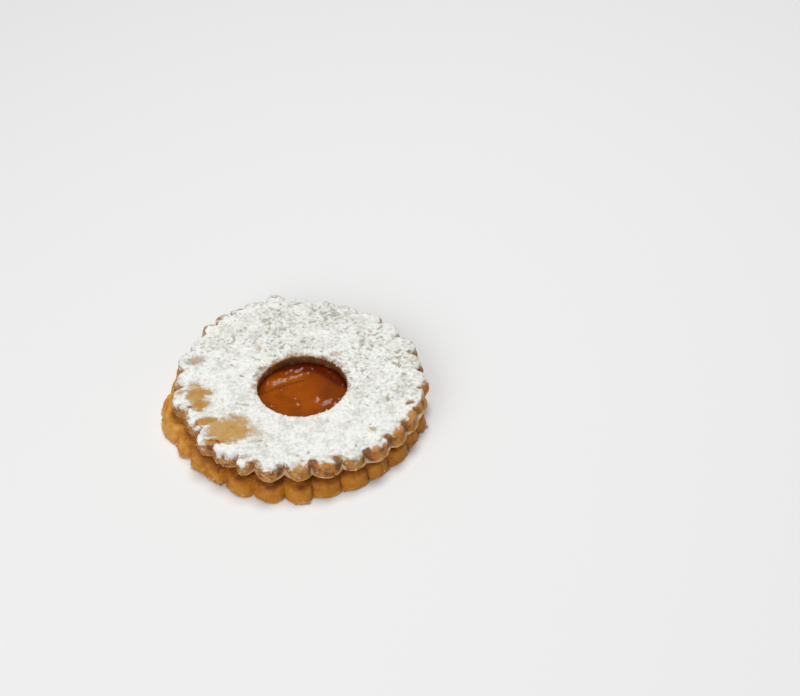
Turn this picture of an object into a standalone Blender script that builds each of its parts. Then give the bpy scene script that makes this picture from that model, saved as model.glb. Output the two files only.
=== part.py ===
"""A jam sandwich biscuit: two scalloped shortbread rounds with apricot jam between them.

The upper round has a window, a little off centre, where the jam rises to show. Both rounds were
cut with the same scalloped cutter and baked a little uneven, so that no two scallops are alike.
Lengths are in metres, directions in degrees anticlockwise from +X. +Z is up, and the biscuit
rests on Z = 0 with its box centred on the Z axis.
"""

from dataclasses import dataclass

import bmesh
import bpy
import numpy as np
from mathutils import Matrix

MM = 0.001

# The stack, from what it rests on upwards
LOWER_THICKNESS = 6.4 * MM
JAM_THICKNESS = 1.5 * MM
UPPER_THICKNESS = 5.5 * MM
TOUCH_GAP = 0.3 * MM

# The scalloped cutter
SCALLOPS = 29
STEPS_PER_SCALLOP = 8
REACH_SPREAD = 0.9 * MM
LEAN_SPREAD = 0.5
NOTCH_SHIFT_SPREAD = 1.2

# The upper round and its window
UPPER_REACH = 43.2 * MM
WINDOW_RADIUS = 15.2 * MM
WINDOW_CENTRE = (1.0 * MM, -3.3 * MM)
CROWN_DIP = 0.15 * MM
CROWN_WAVELENGTH = 22.0 * MM

# The lower round, which lies a little to the left of the upper one
LOWER_REACH = 44.1 * MM
LOWER_SHIFT = (-1.4 * MM, 0.4 * MM)

# The jam, squeezed out almost to the edge and domed in the window
JAM_REACH = 38.6 * MM
JAM_DEPTH_IN_WINDOW = 4.0 * MM
JAM_DOME = 0.5 * MM
JAM_EDGE_ROUNDING = 0.5 * MM


@dataclass(frozen=True)
class Wave:
    """A gentle swing around an edge: how often it rises, by how much, and towards where first."""

    count: int
    size: float
    crest: float

    def at(self, direction):
        """The swing towards each direction."""
        return self.size * np.cos(np.radians(self.count * (direction - self.crest)))


@dataclass(frozen=True)
class Level:
    """One ring of a side: its height, how far it stands in, and how deep its notches are."""

    height: float
    inset: float
    notch: float


@dataclass(frozen=True)
class Scalloping:
    """How one round's edge came out of the cutter and the oven."""

    reach: float
    reach_waves: tuple
    first_tip: float
    crowding: tuple
    seed: int
    strays: tuple = ()
    notches: tuple = ()
    rounding: float = 0.75
    lean_to_next: float = 0.0


UPPER_SCALLOPING = Scalloping(
    reach=UPPER_REACH,
    reach_waves=(Wave(2, 0.8 * MM, -50), Wave(3, 0.6 * MM, 0)),
    first_tip=271.7,
    crowding=(Wave(1, 4.0, 10), Wave(2, 4.1, 67), Wave(3, 1.5, -15)),
    seed=91526,
    strays=(
        (1, -0.5 * MM), (2, -0.8 * MM), (3, -0.4 * MM), (4, 0.4 * MM), (8, -0.7 * MM), (10, 0.9 * MM),
        (14, 0.4 * MM), (15, 3.1 * MM), (16, 1.2 * MM), (18, 0.4 * MM), (23, 1.4 * MM), (24, -2.1 * MM),
        (25, -0.4 * MM), (28, -0.4 * MM),
    ),
    notches=(
        (0, -2.2, -1.6 * MM), (1, 0.2, -0.8 * MM), (2, 1.1, -0.7 * MM), (3, 1.5, 0.3 * MM), (4, 3.9, 0.3 * MM),
        (5, -1.1, 0.9 * MM), (6, -1.8, 1.0 * MM), (7, -2.2, 0.3 * MM), (8, -0.7, -0.7 * MM), (9, -1.4, 0.5 * MM),
        (10, -1.2, 0.8 * MM), (11, -0.8, 1.0 * MM), (12, -0.5, 0.8 * MM), (13, 0.3, 0.5 * MM), (14, 1.8, 0.1 * MM),
        (16, 2.2, 2.0 * MM), (17, 3.0, 2.3 * MM), (18, 2.0, 0.8 * MM), (19, 2.0, 0.8 * MM), (20, -1.0, 1.2 * MM),
        (24, 0.0, 0.4 * MM), (25, 0.0, 0.5 * MM), (26, -2.0, 0.5 * MM), (27, -1.1, -0.2 * MM), (28, -3.7, -1.0 * MM),
    ),
)
LOWER_SCALLOPING = Scalloping(
    reach=LOWER_REACH,
    reach_waves=(Wave(3, 0.3 * MM, -54), Wave(4, 0.4 * MM, -3)),
    first_tip=270.7,
    crowding=(Wave(2, 1.8, 90),),
    seed=4,
    strays=(
        (1, -0.5 * MM), (2, -0.9 * MM), (3, 0.6 * MM), (7, -0.8 * MM), (8, -0.8 * MM), (20, 0.6 * MM),
        (21, -1.3 * MM), (22, 0.8 * MM), (23, 1.8 * MM), (28, 0.9 * MM),
    ),
    notches=(
        (0, -0.9, -0.6 * MM), (1, 0.5, -0.4 * MM), (2, 1.4, -0.2 * MM), (3, 1.8, 0.0), (4, 2.1, 0.5 * MM),
        (5, 5.1, 0.9 * MM), (6, 4.0, 0.5 * MM), (7, 2.0, 0.0), (22, 0.0, -2.0 * MM), (23, -2.8, 3.0 * MM),
        (24, 2.4, 0.1 * MM), (25, 1.2, -0.8 * MM), (26, 0.0, 1.2 * MM), (27, -2.6, -0.8 * MM), (28, -1.1, 0.1 * MM),
    ),
    rounding=0.5,
    lean_to_next=0.3,
)

# Each side runs from its underside out to a thin foot, up a steep face and in over a soft shoulder
UPPER_SIDE = (
    Level(0.0 * MM, 1.0 * MM, 2.2 * MM),
    Level(0.3 * MM, 0.1 * MM, 2.4 * MM),
    Level(0.7 * MM, 0.0 * MM, 2.5 * MM),
    Level(1.4 * MM, 0.4 * MM, 2.6 * MM),
    Level(2.8 * MM, 0.8 * MM, 2.7 * MM),
    Level(4.1 * MM, 1.3 * MM, 2.8 * MM),
    Level(5.0 * MM, 2.2 * MM, 2.8 * MM),
    Level(5.4 * MM, 3.5 * MM, 2.1 * MM),
    Level(5.5 * MM, 6.5 * MM, 0.3 * MM),
)
LOWER_SIDE = (
    Level(0.0 * MM, 0.9 * MM, 1.8 * MM),
    Level(0.4 * MM, 0.0 * MM, 2.0 * MM),
    Level(1.1 * MM, 0.2 * MM, 2.2 * MM),
    Level(2.6 * MM, 0.5 * MM, 2.5 * MM),
    Level(4.4 * MM, 0.9 * MM, 2.7 * MM),
    Level(5.8 * MM, 2.0 * MM, 2.8 * MM),
    Level(6.4 * MM, 4.0 * MM, 1.6 * MM),
)

# The window's wall, from the top down: a rounded lip, then a nearly upright cut
WINDOW_SIDE = (
    Level(5.45 * MM, 1.6 * MM, 0.0),
    Level(5.2 * MM, 0.5 * MM, 0.0),
    Level(4.6 * MM, 0.0 * MM, 0.0),
    Level(0.0 * MM, 0.2 * MM, 0.0),
)
WINDOW_OVAL = Wave(2, 0.25 * MM, 20)

# The jam's outer edge bulges between the rounds, and its way out is uneven
JAM_EDGE = (
    Level(0.0 * MM, 0.6 * MM, 0.0),
    Level(0.75 * MM, 0.0 * MM, 0.0),
    Level(1.5 * MM, 0.6 * MM, 0.0),
)
JAM_WAVES = (Wave(2, 0.5 * MM, 200), Wave(5, 0.4 * MM, 30), Wave(9, 0.3 * MM, 75))
JAM_DOME_RINGS = (0.72, 0.4)

SHORTBREAD_COLOUR = (0.49, 0.24, 0.075, 1.0)
SUGARED_COLOUR = (0.80, 0.78, 0.72, 1.0)
JAM_COLOUR = (0.36, 0.085, 0.006, 1.0)
SHARP_EDGE = np.radians(50)


@dataclass(frozen=True)
class Columns:
    """Every upright column of points around a round: its direction, fullness and rim distance."""

    direction: np.ndarray
    fullness: np.ndarray
    rim: np.ndarray

    def thinned(self, step):
        """The same columns with only every step-th one kept."""
        return Columns(self.direction[::step], self.fullness[::step], self.rim[::step])


def scallop_columns(edge):
    """Spread columns around a scalloped edge, with one in each notch.

    A stray lengthens one scallop. A notch entry turns the notch before a scallop by degrees
    and makes it shallower by a length.
    """
    draw = np.random.default_rng(edge.seed)
    stretch = draw.uniform(-REACH_SPREAD, REACH_SPREAD, SCALLOPS)
    lean = draw.uniform(-LEAN_SPREAD, LEAN_SPREAD, SCALLOPS)
    shift = draw.uniform(-NOTCH_SHIFT_SPREAD, NOTCH_SHIFT_SPREAD, SCALLOPS)
    fill = np.zeros(SCALLOPS)
    for stray, extra in edge.strays:
        stretch[stray] += extra
    for notch, turn, shallower in edge.notches:
        shift[notch] += turn
        fill[notch] += shallower

    scallop = np.repeat(np.arange(SCALLOPS), STEPS_PER_SCALLOP)
    across = np.tile(np.arange(STEPS_PER_SCALLOP) / STEPS_PER_SCALLOP - 0.5, SCALLOPS)
    even = edge.first_tip + (scallop + across) * 360 / SCALLOPS
    crowded = even + sum(wave.at(even) for wave in edge.crowding)
    share = across + 0.5
    direction = crowded + shift[scallop] * (1 - share) + np.roll(shift, -1)[scallop] * share
    filling = fill[scallop] * (1 - share) + np.roll(fill, -1)[scallop] * share

    leaned = across + (lean[scallop] - edge.lean_to_next) * (0.25 - across**2)
    fullness = np.clip(np.cos(np.pi * leaned), 0, 1) ** edge.rounding
    waves = sum(wave.at(direction) for wave in edge.reach_waves)
    rim = edge.reach + waves + stretch[scallop] * fullness + filling * (1 - fullness)
    return Columns(direction, fullness, rim)


def points_around(centre, direction, radius, height):
    """Points at the given distance from the centre and at the given height."""
    angle = np.radians(direction)
    x = centre[0] + radius * np.cos(angle)
    y = centre[1] + radius * np.sin(angle)
    return np.stack([x, y, np.broadcast_to(height, x.shape)], axis=1)


def scalloped_ring(centre, base, columns, level):
    """One ring of a scalloped side: the rim's distance less its inset and its notches."""
    radius = columns.rim - level.inset - level.notch * (1 - columns.fullness)
    return points_around(centre, columns.direction, radius, base + level.height)


def window_radius(direction):
    """How far the window's wall stands from its centre towards each direction."""
    return WINDOW_RADIUS + WINDOW_OVAL.at(direction)


def settled(points):
    """Lower the crown's points by a slow uneven dip, never raising one."""
    phase = points[:, :2] / CROWN_WAVELENGTH * 2 * np.pi
    dip = CROWN_DIP * (1 - np.sin(phase[:, 0] + 1.0) * np.cos(phase[:, 1] - 0.5)) / 2
    return points - np.outer(dip, (0, 0, 1))


def add_ring(mesh, points):
    """Add a ring of vertices to the mesh."""
    return [mesh.verts.new(point) for point in points]


def join_rings(mesh, many, few):
    """Join two rings of as many points, or of twice as many, with a band of faces."""
    ratio = len(many) // len(few)
    for index, corner in enumerate(few):
        next_corner = few[(index + 1) % len(few)]
        start = index * ratio
        middle = many[(start + 1) % len(many)]
        if ratio == 1:
            mesh.faces.new((many[start], middle, next_corner, corner))
            continue
        end = many[(start + 2) % len(many)]
        mesh.faces.new((many[start], middle, corner))
        mesh.faces.new((middle, next_corner, corner))
        mesh.faces.new((middle, end, next_corner))


def join_all(mesh, rings):
    """Join each ring to the next one."""
    for outer, inner in zip(rings, rings[1:]):
        join_rings(mesh, outer, inner)


def make_material(name, colour, roughness):
    """A plain material with the piece's colour and gloss."""
    material = bpy.data.materials.new(name)
    material.use_nodes = True
    shader = material.node_tree.nodes["Principled BSDF"]
    shader.inputs["Base Color"].default_value = colour
    shader.inputs["Roughness"].default_value = roughness
    shader.inputs["Metallic"].default_value = 0.0
    material.diffuse_color = colour
    return material


def make_object(name, mesh, material):
    """Turn a finished bmesh into an object with rounded shading and crisp notches."""
    bmesh.ops.recalc_face_normals(mesh, faces=mesh.faces)
    data = bpy.data.meshes.new(name)
    mesh.to_mesh(data)
    mesh.free()
    data.materials.append(material)
    data.shade_smooth()
    data.set_sharp_from_angle(angle=SHARP_EDGE)
    piece = bpy.data.objects.new(name, data)
    bpy.context.scene.collection.objects.link(piece)
    return piece


def build_lower_round():
    """The plain round below: a scalloped side between a flat base and a flat top."""
    mesh = bmesh.new()
    columns = scallop_columns(LOWER_SCALLOPING)
    rings = [add_ring(mesh, scalloped_ring(LOWER_SHIFT, 0.0, columns, level)) for level in LOWER_SIDE]
    join_all(mesh, rings)
    mesh.faces.new(rings[0])
    mesh.faces.new(rings[-1])
    return make_object("bottom_cookie", mesh, make_material("shortbread", SHORTBREAD_COLOUR, 0.75))


def build_upper_round(base):
    """The sugared round above: a scalloped side, a nearly flat crown and the window's wall."""
    mesh = bmesh.new()
    columns = scallop_columns(UPPER_SCALLOPING)
    side = [scalloped_ring((0, 0), base, columns, level) for level in UPPER_SIDE[:-1]]
    coarse = columns.thinned(2)
    crown = scalloped_ring((0, 0), base, coarse, UPPER_SIDE[-1])
    wall = window_radius(coarse.direction)
    window = [
        points_around(WINDOW_CENTRE, coarse.direction, wall + level.inset, base + level.height)
        for level in WINDOW_SIDE
    ]
    side_rings = [add_ring(mesh, points) for points in side]
    inner_rings = [add_ring(mesh, points) for points in [settled(crown), settled(window[0]), *window[1:]]]
    join_all(mesh, side_rings)
    join_all(mesh, [side_rings[-1], *inner_rings])
    join_rings(mesh, side_rings[0], inner_rings[-1])
    return make_object("top_cookie", mesh, make_material("sugared_shortbread", SUGARED_COLOUR, 0.9))


def build_jam(base, surface):
    """The jam: a thin layer between the rounds, with a plug that fills the window to its surface."""
    mesh = bmesh.new()
    directions = scallop_columns(UPPER_SCALLOPING).thinned(4).direction
    middle = (LOWER_SHIFT[0] / 2, LOWER_SHIFT[1] / 2)
    reach = JAM_REACH + sum(wave.at(directions) for wave in JAM_WAVES)
    plug = window_radius(directions) - TOUCH_GAP
    rings = [points_around(middle, directions, reach - edge.inset, base + edge.height) for edge in JAM_EDGE]
    rings.append(points_around(WINDOW_CENTRE, directions, plug, base + JAM_THICKNESS))
    rings.append(points_around(WINDOW_CENTRE, directions, plug, surface - JAM_EDGE_ROUNDING))
    rings.append(points_around(WINDOW_CENTRE, directions, plug - JAM_EDGE_ROUNDING, surface))
    for share in JAM_DOME_RINGS:
        height = surface + JAM_DOME * (1 - share**2)
        rings.append(points_around(WINDOW_CENTRE, directions, plug * share, height))
    vertices = [add_ring(mesh, points) for points in rings]
    join_all(mesh, vertices)
    mesh.faces.new(vertices[0])
    top = mesh.verts.new((*WINDOW_CENTRE, surface + JAM_DOME))
    last = vertices[-1]
    for index, corner in enumerate(last):
        mesh.faces.new((corner, last[(index + 1) % len(last)], top))
    return make_object("jam", mesh, make_material("apricot_jam", JAM_COLOUR, 0.08))


def centre_over_origin(pieces):
    """Move all meshes together so that their common box is centred on the Z axis."""
    corners = np.array([vertex.co for piece in pieces for vertex in piece.data.vertices])
    middle = (corners.min(axis=0) + corners.max(axis=0)) / 2
    move = Matrix.Translation((-middle[0], -middle[1], 0.0))
    for piece in pieces:
        piece.data.transform(move)


def main():
    """Clear the scene, then stack the lower round, the jam and the upper round."""
    for piece in list(bpy.data.objects):
        bpy.data.objects.remove(piece)
    jam_base = LOWER_THICKNESS + TOUCH_GAP
    upper_base = jam_base + JAM_THICKNESS + TOUCH_GAP
    jam_surface = upper_base + UPPER_THICKNESS - JAM_DEPTH_IN_WINDOW
    centre_over_origin([build_lower_round(), build_jam(jam_base, jam_surface), build_upper_round(upper_base)])


main()
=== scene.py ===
"""The looks of a jam window biscuit: baked shortbread, powdered sugar and apricot jam.

Lengths are in metres, or in millimetres where a name or a docstring says so. Directions are in
degrees anticlockwise from +X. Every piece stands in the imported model's own frame, and the numbers
that the solids were made from are repeated here.
"""

import logging
from dataclasses import dataclass, replace
from enum import Enum

import bpy
import numpy as np
from mathutils import Matrix, Vector


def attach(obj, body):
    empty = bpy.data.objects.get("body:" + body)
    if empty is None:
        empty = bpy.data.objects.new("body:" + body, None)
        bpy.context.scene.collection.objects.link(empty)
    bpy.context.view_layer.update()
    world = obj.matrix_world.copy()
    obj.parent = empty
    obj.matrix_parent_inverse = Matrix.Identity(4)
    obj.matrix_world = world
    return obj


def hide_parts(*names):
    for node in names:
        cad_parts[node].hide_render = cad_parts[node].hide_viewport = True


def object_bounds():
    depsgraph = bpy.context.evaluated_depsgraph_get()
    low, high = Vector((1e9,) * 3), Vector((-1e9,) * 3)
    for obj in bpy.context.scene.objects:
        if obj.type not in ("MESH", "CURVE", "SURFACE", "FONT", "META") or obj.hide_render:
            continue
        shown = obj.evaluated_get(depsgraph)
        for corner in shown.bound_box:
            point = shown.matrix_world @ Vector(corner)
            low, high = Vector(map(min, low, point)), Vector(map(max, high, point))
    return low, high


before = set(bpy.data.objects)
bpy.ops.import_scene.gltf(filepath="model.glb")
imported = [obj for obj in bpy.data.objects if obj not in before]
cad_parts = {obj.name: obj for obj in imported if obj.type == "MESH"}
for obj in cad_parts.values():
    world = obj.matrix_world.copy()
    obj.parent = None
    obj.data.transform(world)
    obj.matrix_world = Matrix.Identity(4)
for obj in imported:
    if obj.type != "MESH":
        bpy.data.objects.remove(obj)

CAD_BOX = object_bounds()
MM = 0.001
TINY = 1e-12
LOG = logging.getLogger("biscuit")

Colour = tuple[float, float, float, float]
Span = tuple[float, float]
Table = tuple[tuple[float, float], ...]
Socket = bpy.types.NodeSocket


class Node(str, Enum):
    """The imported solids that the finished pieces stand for."""

    LOWER = "bottom_cookie"
    JAM = "jam"
    UPPER = "top_cookie"


class Slot(str, Enum):
    """The record's material slots."""

    SHORTBREAD = "shortbread"
    JAM = "apricot_jam"
    SUGARED = "sugared_shortbread"


class Mark(str, Enum):
    """The values that a mesh carries for its material, each from 0 to 1."""

    SUGAR = "sugar"
    CREAM = "cream"
    # Toast on the rounds, with painted shade and painted light mixed in; on the jam it holds only painted
    # shade.
    TOAST = "toast"
    # On the plain round the tone mark is painted light; on the jam it marks olive, and on crumbs their own
    # tone.
    TONE = "tone"
    # Pores in the sugar, painted as shade, partly the dough under thin sugar.
    PORE = "pore"
    STAIN = "stain"


def smoothstep(low: float, high: float, value: np.ndarray) -> np.ndarray:
    """0 below low, 1 above high, and the smooth cubic 3t^2 - 2t^3 between them."""
    share = np.clip((value - low) / (high - low), 0.0, 1.0)
    return share * share * (3.0 - 2.0 * share)


def millistep(low: float, high: float, length: np.ndarray) -> np.ndarray:
    """The smoothstep of a length in metres, between two ends in millimetres."""
    return smoothstep(low * MM, high * MM, length)


def by_direction(table: Table, direction: np.ndarray) -> np.ndarray:
    """Read a table of directions and values, along straight lines between its rows."""
    return np.interp(direction % 360, *np.array(table, dtype=float).T)


def facing(direction: np.ndarray, towards: float, far: float, near: float) -> np.ndarray:
    """One row of shares: 1 within the near angle of a direction and 0 beyond the far one."""
    return smoothstep(far, near, np.abs(direction % 360 - towards))[None, :]


def smooth_through(knots: np.ndarray, values: np.ndarray, where: np.ndarray) -> np.ndarray:
    """Draw a smooth curve through values that never overshoots them.

    Each stretch is a cubic whose end slopes are the harmonic mean of the slopes on both sides,
    or level where those have opposite signs.

    Args:
        knots: The rising positions of the values.
        values: What the curve passes through.
        where: The positions to read.

    Returns:
        The curve's value at each position.
    """
    step = np.diff(knots)
    rise = np.diff(values) / step
    product = rise[1:] * rise[:-1]
    total = rise[1:] + rise[:-1]
    middle = np.divide(2.0 * product, total, out=np.zeros_like(product), where=product > 0)
    slope = np.concatenate([rise[:1], middle, rise[-1:]])
    at = np.clip(np.searchsorted(knots, where, side="right") - 1, 0, len(step) - 1)
    t = (where - knots[at]) / step[at]
    rest = 1.0 - t
    return (
        values[at] * (1 + 2 * t) * rest**2
        + values[at + 1] * (3 - 2 * t) * t**2
        + step[at] * (slope[at] * t * rest**2 - slope[at + 1] * t**2 * rest)
    )


@dataclass(frozen=True)
class Lumps:
    """Seeded smooth noise through space, about -1 to 1, with lumps of a size in millimetres."""

    seed: int
    size: float
    layers: int = 1
    lattice: int = 32
    offset: float = 100.0
    gain: float = 1.9

    def at(self, points: np.ndarray) -> np.ndarray:
        """Read the noise at points.

        Every corner of a cubic lattice pulls along its own random direction. A point takes the
        pulls of the eight corners round it, mixed by the quintic 6t^5 - 15t^4 + 10t^3 of its
        place in the cell. Each further layer is half as large and half as strong.

        Args:
            points: Places in metres, with x, y and z last.

        Returns:
            One value for each place.
        """
        total = np.zeros(points.shape[:-1])
        for layer in range(self.layers):
            draw = np.random.default_rng(self.seed + layer)
            pull = draw.normal(size=(self.lattice,) * 3 + (3,))
            pull /= np.linalg.norm(pull, axis=-1, keepdims=True)
            place = points / (self.size * MM / 2**layer) + self.offset
            cell = np.floor(place).astype(int)
            inside = place - cell
            mix = inside**3 * (inside * (6 * inside - 15) + 10)
            for corner in np.ndindex(2, 2, 2):
                key = (cell + corner) % self.lattice
                weight = np.prod(np.where(corner, mix, 1 - mix), axis=-1)
                towards = ((inside - corner) * pull[key[..., 0], key[..., 1], key[..., 2]]).sum(-1)
                total += weight * towards * self.gain / 2**layer
        return total


@dataclass(frozen=True)
class Wave:
    """A gentle swing around an edge: how often it rises, by how much, and towards where first."""

    count: int
    size: float
    crest: float

    def at(self, direction: np.ndarray) -> np.ndarray:
        """The swing towards each direction: the size times the cosine of count turns."""
        return self.size * np.cos(np.radians(self.count * (direction - self.crest)))


@dataclass(frozen=True)
class Columns:
    """Every upright column of points around a round: its direction, fullness and rim distance."""

    direction: np.ndarray
    fullness: np.ndarray
    rim: np.ndarray

    def hollow(self) -> np.ndarray:
        """How far into a notch each column stands, as one row."""
        return (1 - self.fullness)[None, :]


@dataclass(frozen=True)
class Scalloping:
    """How one round's edge came out of the cutter and the oven, as its solid has it.

    A stray is a scallop and how many millimetres more it stands out. A notch entry is the notch
    before a scallop, its turn in degrees and how many millimetres shallower it is.
    """

    reach: float
    reach_waves: tuple[Wave, ...]
    first_tip: float
    crowding: tuple[Wave, ...]
    seed: int
    strays: tuple[tuple[int, float], ...]
    notches: tuple[tuple[int, float, float], ...]
    rounding: float = 0.75
    lean_to_next: float = 0.0
    scallops: int = 29
    reach_spread: float = 0.9 * MM
    lean_spread: float = 0.5
    notch_shift_spread: float = 1.2

    def columns(self, steps: int) -> Columns:
        """Spread columns around the edge, with one in each notch.

        A scallop's fullness is the cosine of its leaned share across, raised to the rounding,
        and its rim stands out by the reach, the waves and its own stretch.

        Args:
            steps: How many columns each scallop takes.

        Returns:
            The columns, in order round the edge.
        """
        draw = np.random.default_rng(self.seed)
        stretch, lean, shift = (
            draw.uniform(-spread, spread, self.scallops)
            for spread in (self.reach_spread, self.lean_spread, self.notch_shift_spread)
        )
        fill = np.zeros(self.scallops)
        for stray, extra in self.strays:
            stretch[stray] += extra * MM
        for notch, turn, shallower in self.notches:
            shift[notch] += turn
            fill[notch] += shallower * MM
        scallop = np.repeat(np.arange(self.scallops), steps)
        across = np.tile(np.arange(steps) / steps - 0.5, self.scallops)
        even = self.first_tip + (scallop + across) * 360 / self.scallops
        crowded = even + sum(wave.at(even) for wave in self.crowding)
        share = across + 0.5
        direction = crowded + shift[scallop] * (1 - share) + np.roll(shift, -1)[scallop] * share
        filling = fill[scallop] * (1 - share) + np.roll(fill, -1)[scallop] * share
        leaned = across + (lean[scallop] - self.lean_to_next) * (0.25 - across**2)
        fullness = np.clip(np.cos(np.pi * leaned), 0, 1) ** self.rounding
        waves = sum(wave.at(direction) for wave in self.reach_waves)
        rim = self.reach + waves + stretch[scallop] * fullness + filling * (1 - fullness)
        return Columns(direction, fullness, rim)


def around(
    centre: tuple[float, float], direction: np.ndarray, radius: np.ndarray, height: np.ndarray
) -> np.ndarray:
    """Points at a height, and from the centre by the direction's cosine and sine times the radius.

    Args:
        centre: The middle, as x and y.
        direction: Where each point lies from it.
        radius: How far.
        height: How high.

    Returns:
        Places with x, y and z last.
    """
    angle = np.radians(direction)
    x, y, z = np.broadcast_arrays(
        centre[0] + radius * np.cos(angle), centre[1] + radius * np.sin(angle), height
    )
    return np.stack([x, y, z], axis=-1)


def blended(first: np.ndarray, last: np.ndarray, shares: np.ndarray) -> np.ndarray:
    """Rings between two: the first times one less each share, plus the last times the share."""
    return first * (1 - shares[:, None, None]) + last * shares[:, None, None]


def outward(points: np.ndarray, closed: bool) -> np.ndarray:
    """The skin's unit normals: the step round the ring crossed with the step to the next ring.

    Args:
        points: Rings of points, closed round each ring.
        closed: Whether the last ring meets the first.

    Returns:
        A unit vector at each point.
    """
    round_step = np.roll(points, -1, axis=1) - np.roll(points, 1, axis=1)
    if closed:
        ring_step = np.roll(points, -1, axis=0) - np.roll(points, 1, axis=0)
    else:
        ring_step = np.gradient(points, axis=0)
    normal = np.cross(round_step, ring_step)
    return normal / np.maximum(np.linalg.norm(normal, axis=-1, keepdims=True), TINY)


def ring_faces(rings: int, columns: int, closed: bool) -> list[list[int]]:
    """Four corners for each cell between neighbouring rings, turned outwards.

    Args:
        rings: How many rings there are.
        columns: How many points each has.
        closed: Whether the last ring meets the first.

    Returns:
        The four vertex numbers of each face.
    """
    index = np.arange(rings * columns).reshape(rings, columns)
    if closed:
        index = np.concatenate([index, index[:1]])
    beside = np.roll(index, -1, axis=1)
    corners = (index[:-1], beside[:-1], beside[1:], index[1:])
    return np.stack(corners, axis=-1).reshape(-1, 4).tolist()


def make_piece(
    name: str, points: np.ndarray, faces: list[list[int]], marks: dict[Mark, np.ndarray]
) -> bpy.types.Object:
    """Put points, faces and marks into a smooth mesh object at the origin.

    Args:
        name: The piece's name.
        points: Its vertices, one row each.
        faces: Its faces' vertex numbers.
        marks: The values that its material reads.

    Returns:
        The linked object.
    """
    mesh = bpy.data.meshes.new(name)
    mesh.from_pydata(points.tolist(), [], faces)
    mesh.shade_smooth()
    for mark, values in marks.items():
        layer = mesh.attributes.new(mark.value, "FLOAT", "POINT")
        layer.data.foreach_set("value", values.astype(np.float32).ravel())
    mesh.update()
    piece = bpy.data.objects.new(name, mesh)
    bpy.context.scene.collection.objects.link(piece)
    return piece


def capped(rings: np.ndarray, marks: dict[Mark, np.ndarray], name: str) -> bpy.types.Object:
    """Close a stack of rings with a point in the middle of each end and make it a piece.

    Args:
        rings: The rings from below upwards, round and in again.
        marks: Values for each ring point.
        name: The piece's name.

    Returns:
        The linked object.
    """
    count, columns = rings.shape[:2]
    poles = np.stack([rings[0].mean(axis=0), rings[-1].mean(axis=0)])
    first, last = count * columns, count * columns + 1
    turn = np.arange(columns)
    after = np.roll(turn, -1)
    top = (count - 1) * columns
    below = np.stack([np.full(columns, first), after, turn], axis=1)
    above = np.stack([np.full(columns, last), top + turn, top + after], axis=1)
    faces = ring_faces(count, columns, closed=False) + below.tolist() + above.tolist()
    ends = {
        mark: np.concatenate([values.ravel(), [values[0].mean(), values[-1].mean()]])
        for mark, values in marks.items()
    }
    return make_piece(name, np.concatenate([rings.reshape(-1, 3), poles]), faces, ends)


def inside_box(points: np.ndarray, low: float, high: float, margin: float = 0.01 * MM) -> np.ndarray:
    """Hold points inside the solids' box by a margin, and between two heights.

    Args:
        points: Places in metres.
        low: The lowest that one may lie.
        high: The highest.
        margin: How far inside the box they stay.

    Returns:
        The places, moved where they lay outside.
    """
    box_low, box_high = np.array(CAD_BOX)
    floor = np.array([box_low[0] + margin, box_low[1] + margin, low])
    ceiling = np.array([box_high[0] - margin, box_high[1] - margin, min(high, box_high[2] - margin)])
    return np.clip(points, floor, ceiling)


class Tree:
    """Lays nodes into one node tree, with settings and inputs given by name or number."""

    def __init__(self, tree: bpy.types.NodeTree) -> None:
        """Keep the tree that the nodes go into."""
        self.tree = tree

    def add(self, kind: str, inputs: dict | None = None, **settings: object) -> bpy.types.Node:
        """Add a shader node.

        Args:
            kind: Its type, without the word ShaderNode.
            inputs: A socket to link from, or a value, for each input's name or number.
            **settings: The node's own settings.

        Returns:
            The node.
        """
        node = self.tree.nodes.new("ShaderNode" + kind)
        for key, value in settings.items():
            setattr(node, key, value)
        self.feed(node, inputs or {})
        return node

    def feed(self, node: bpy.types.Node, inputs: dict) -> None:
        """Link a socket or set a value for each of a node's inputs.

        Args:
            node: The node.
            inputs: A socket or a value for each input's name or number.
        """
        for key, value in inputs.items():
            if isinstance(value, Socket):
                self.tree.links.new(value, node.inputs[key])
            else:
                node.inputs[key].default_value = value

    def math(self, operation: str, first: object, second: object, clamp: bool = False) -> Socket:
        """The result of one sum on two values."""
        return self.add("Math", {0: first, 1: second}, operation=operation, use_clamp=clamp).outputs[0]

    def plus(self, first: object, second: object, clamp: bool = False) -> Socket:
        """Two values added."""
        return self.math("ADD", first, second, clamp)

    def times(self, first: object, second: object) -> Socket:
        """Two values multiplied."""
        return self.math("MULTIPLY", first, second)

    def mix(self, share: object, first: object, second: object) -> Socket:
        """One colour mixed into another by a share."""
        return self.add("Mix", {0: share, 6: first, 7: second}, data_type="RGBA").outputs[2]

    def ramp(
        self, value: object, low: float, high: float, to_low: float = 0.0, to_high: float = 1.0
    ) -> Socket:
        """A value carried smoothly from one range to another."""
        inputs = {"Value": value, "From Min": low, "From Max": high, "To Min": to_low, "To Max": to_high}
        return self.add("MapRange", inputs, interpolation_type="SMOOTHSTEP").outputs["Result"]

    def place(self) -> Socket:
        """The piece's own coordinates."""
        return self.add("TexCoord").outputs["Object"]

    def noise(self, size: float, detail: float = 3.0, roughness: float = 0.55) -> Socket:
        """Noise on the piece's own coordinates, with lumps of a size in millimetres."""
        inputs = {"Vector": self.place(), "Scale": 1 / (size * MM), "Detail": detail, "Roughness": roughness}
        return self.add("TexNoise", inputs).outputs["Fac"]

    def swing(self, strength: float, size: float, detail: float, roughness: float = 0.55) -> Socket:
        """Noise less a half, times a strength."""
        return self.times(self.math("SUBTRACT", self.noise(size, detail, roughness), 0.5), strength)

    def mark(self, mark: Mark) -> Socket:
        """A value that the mesh carries."""
        return self.add("Attribute", attribute_name=mark.value).outputs["Fac"]

    def bump(self, height: Socket, strength: float, distance: float) -> Socket:
        """The normal of a relief, with its depth in millimetres."""
        inputs = {"Height": height, "Strength": strength, "Distance": distance * MM}
        return self.add("Bump", inputs).outputs["Normal"]


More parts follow.
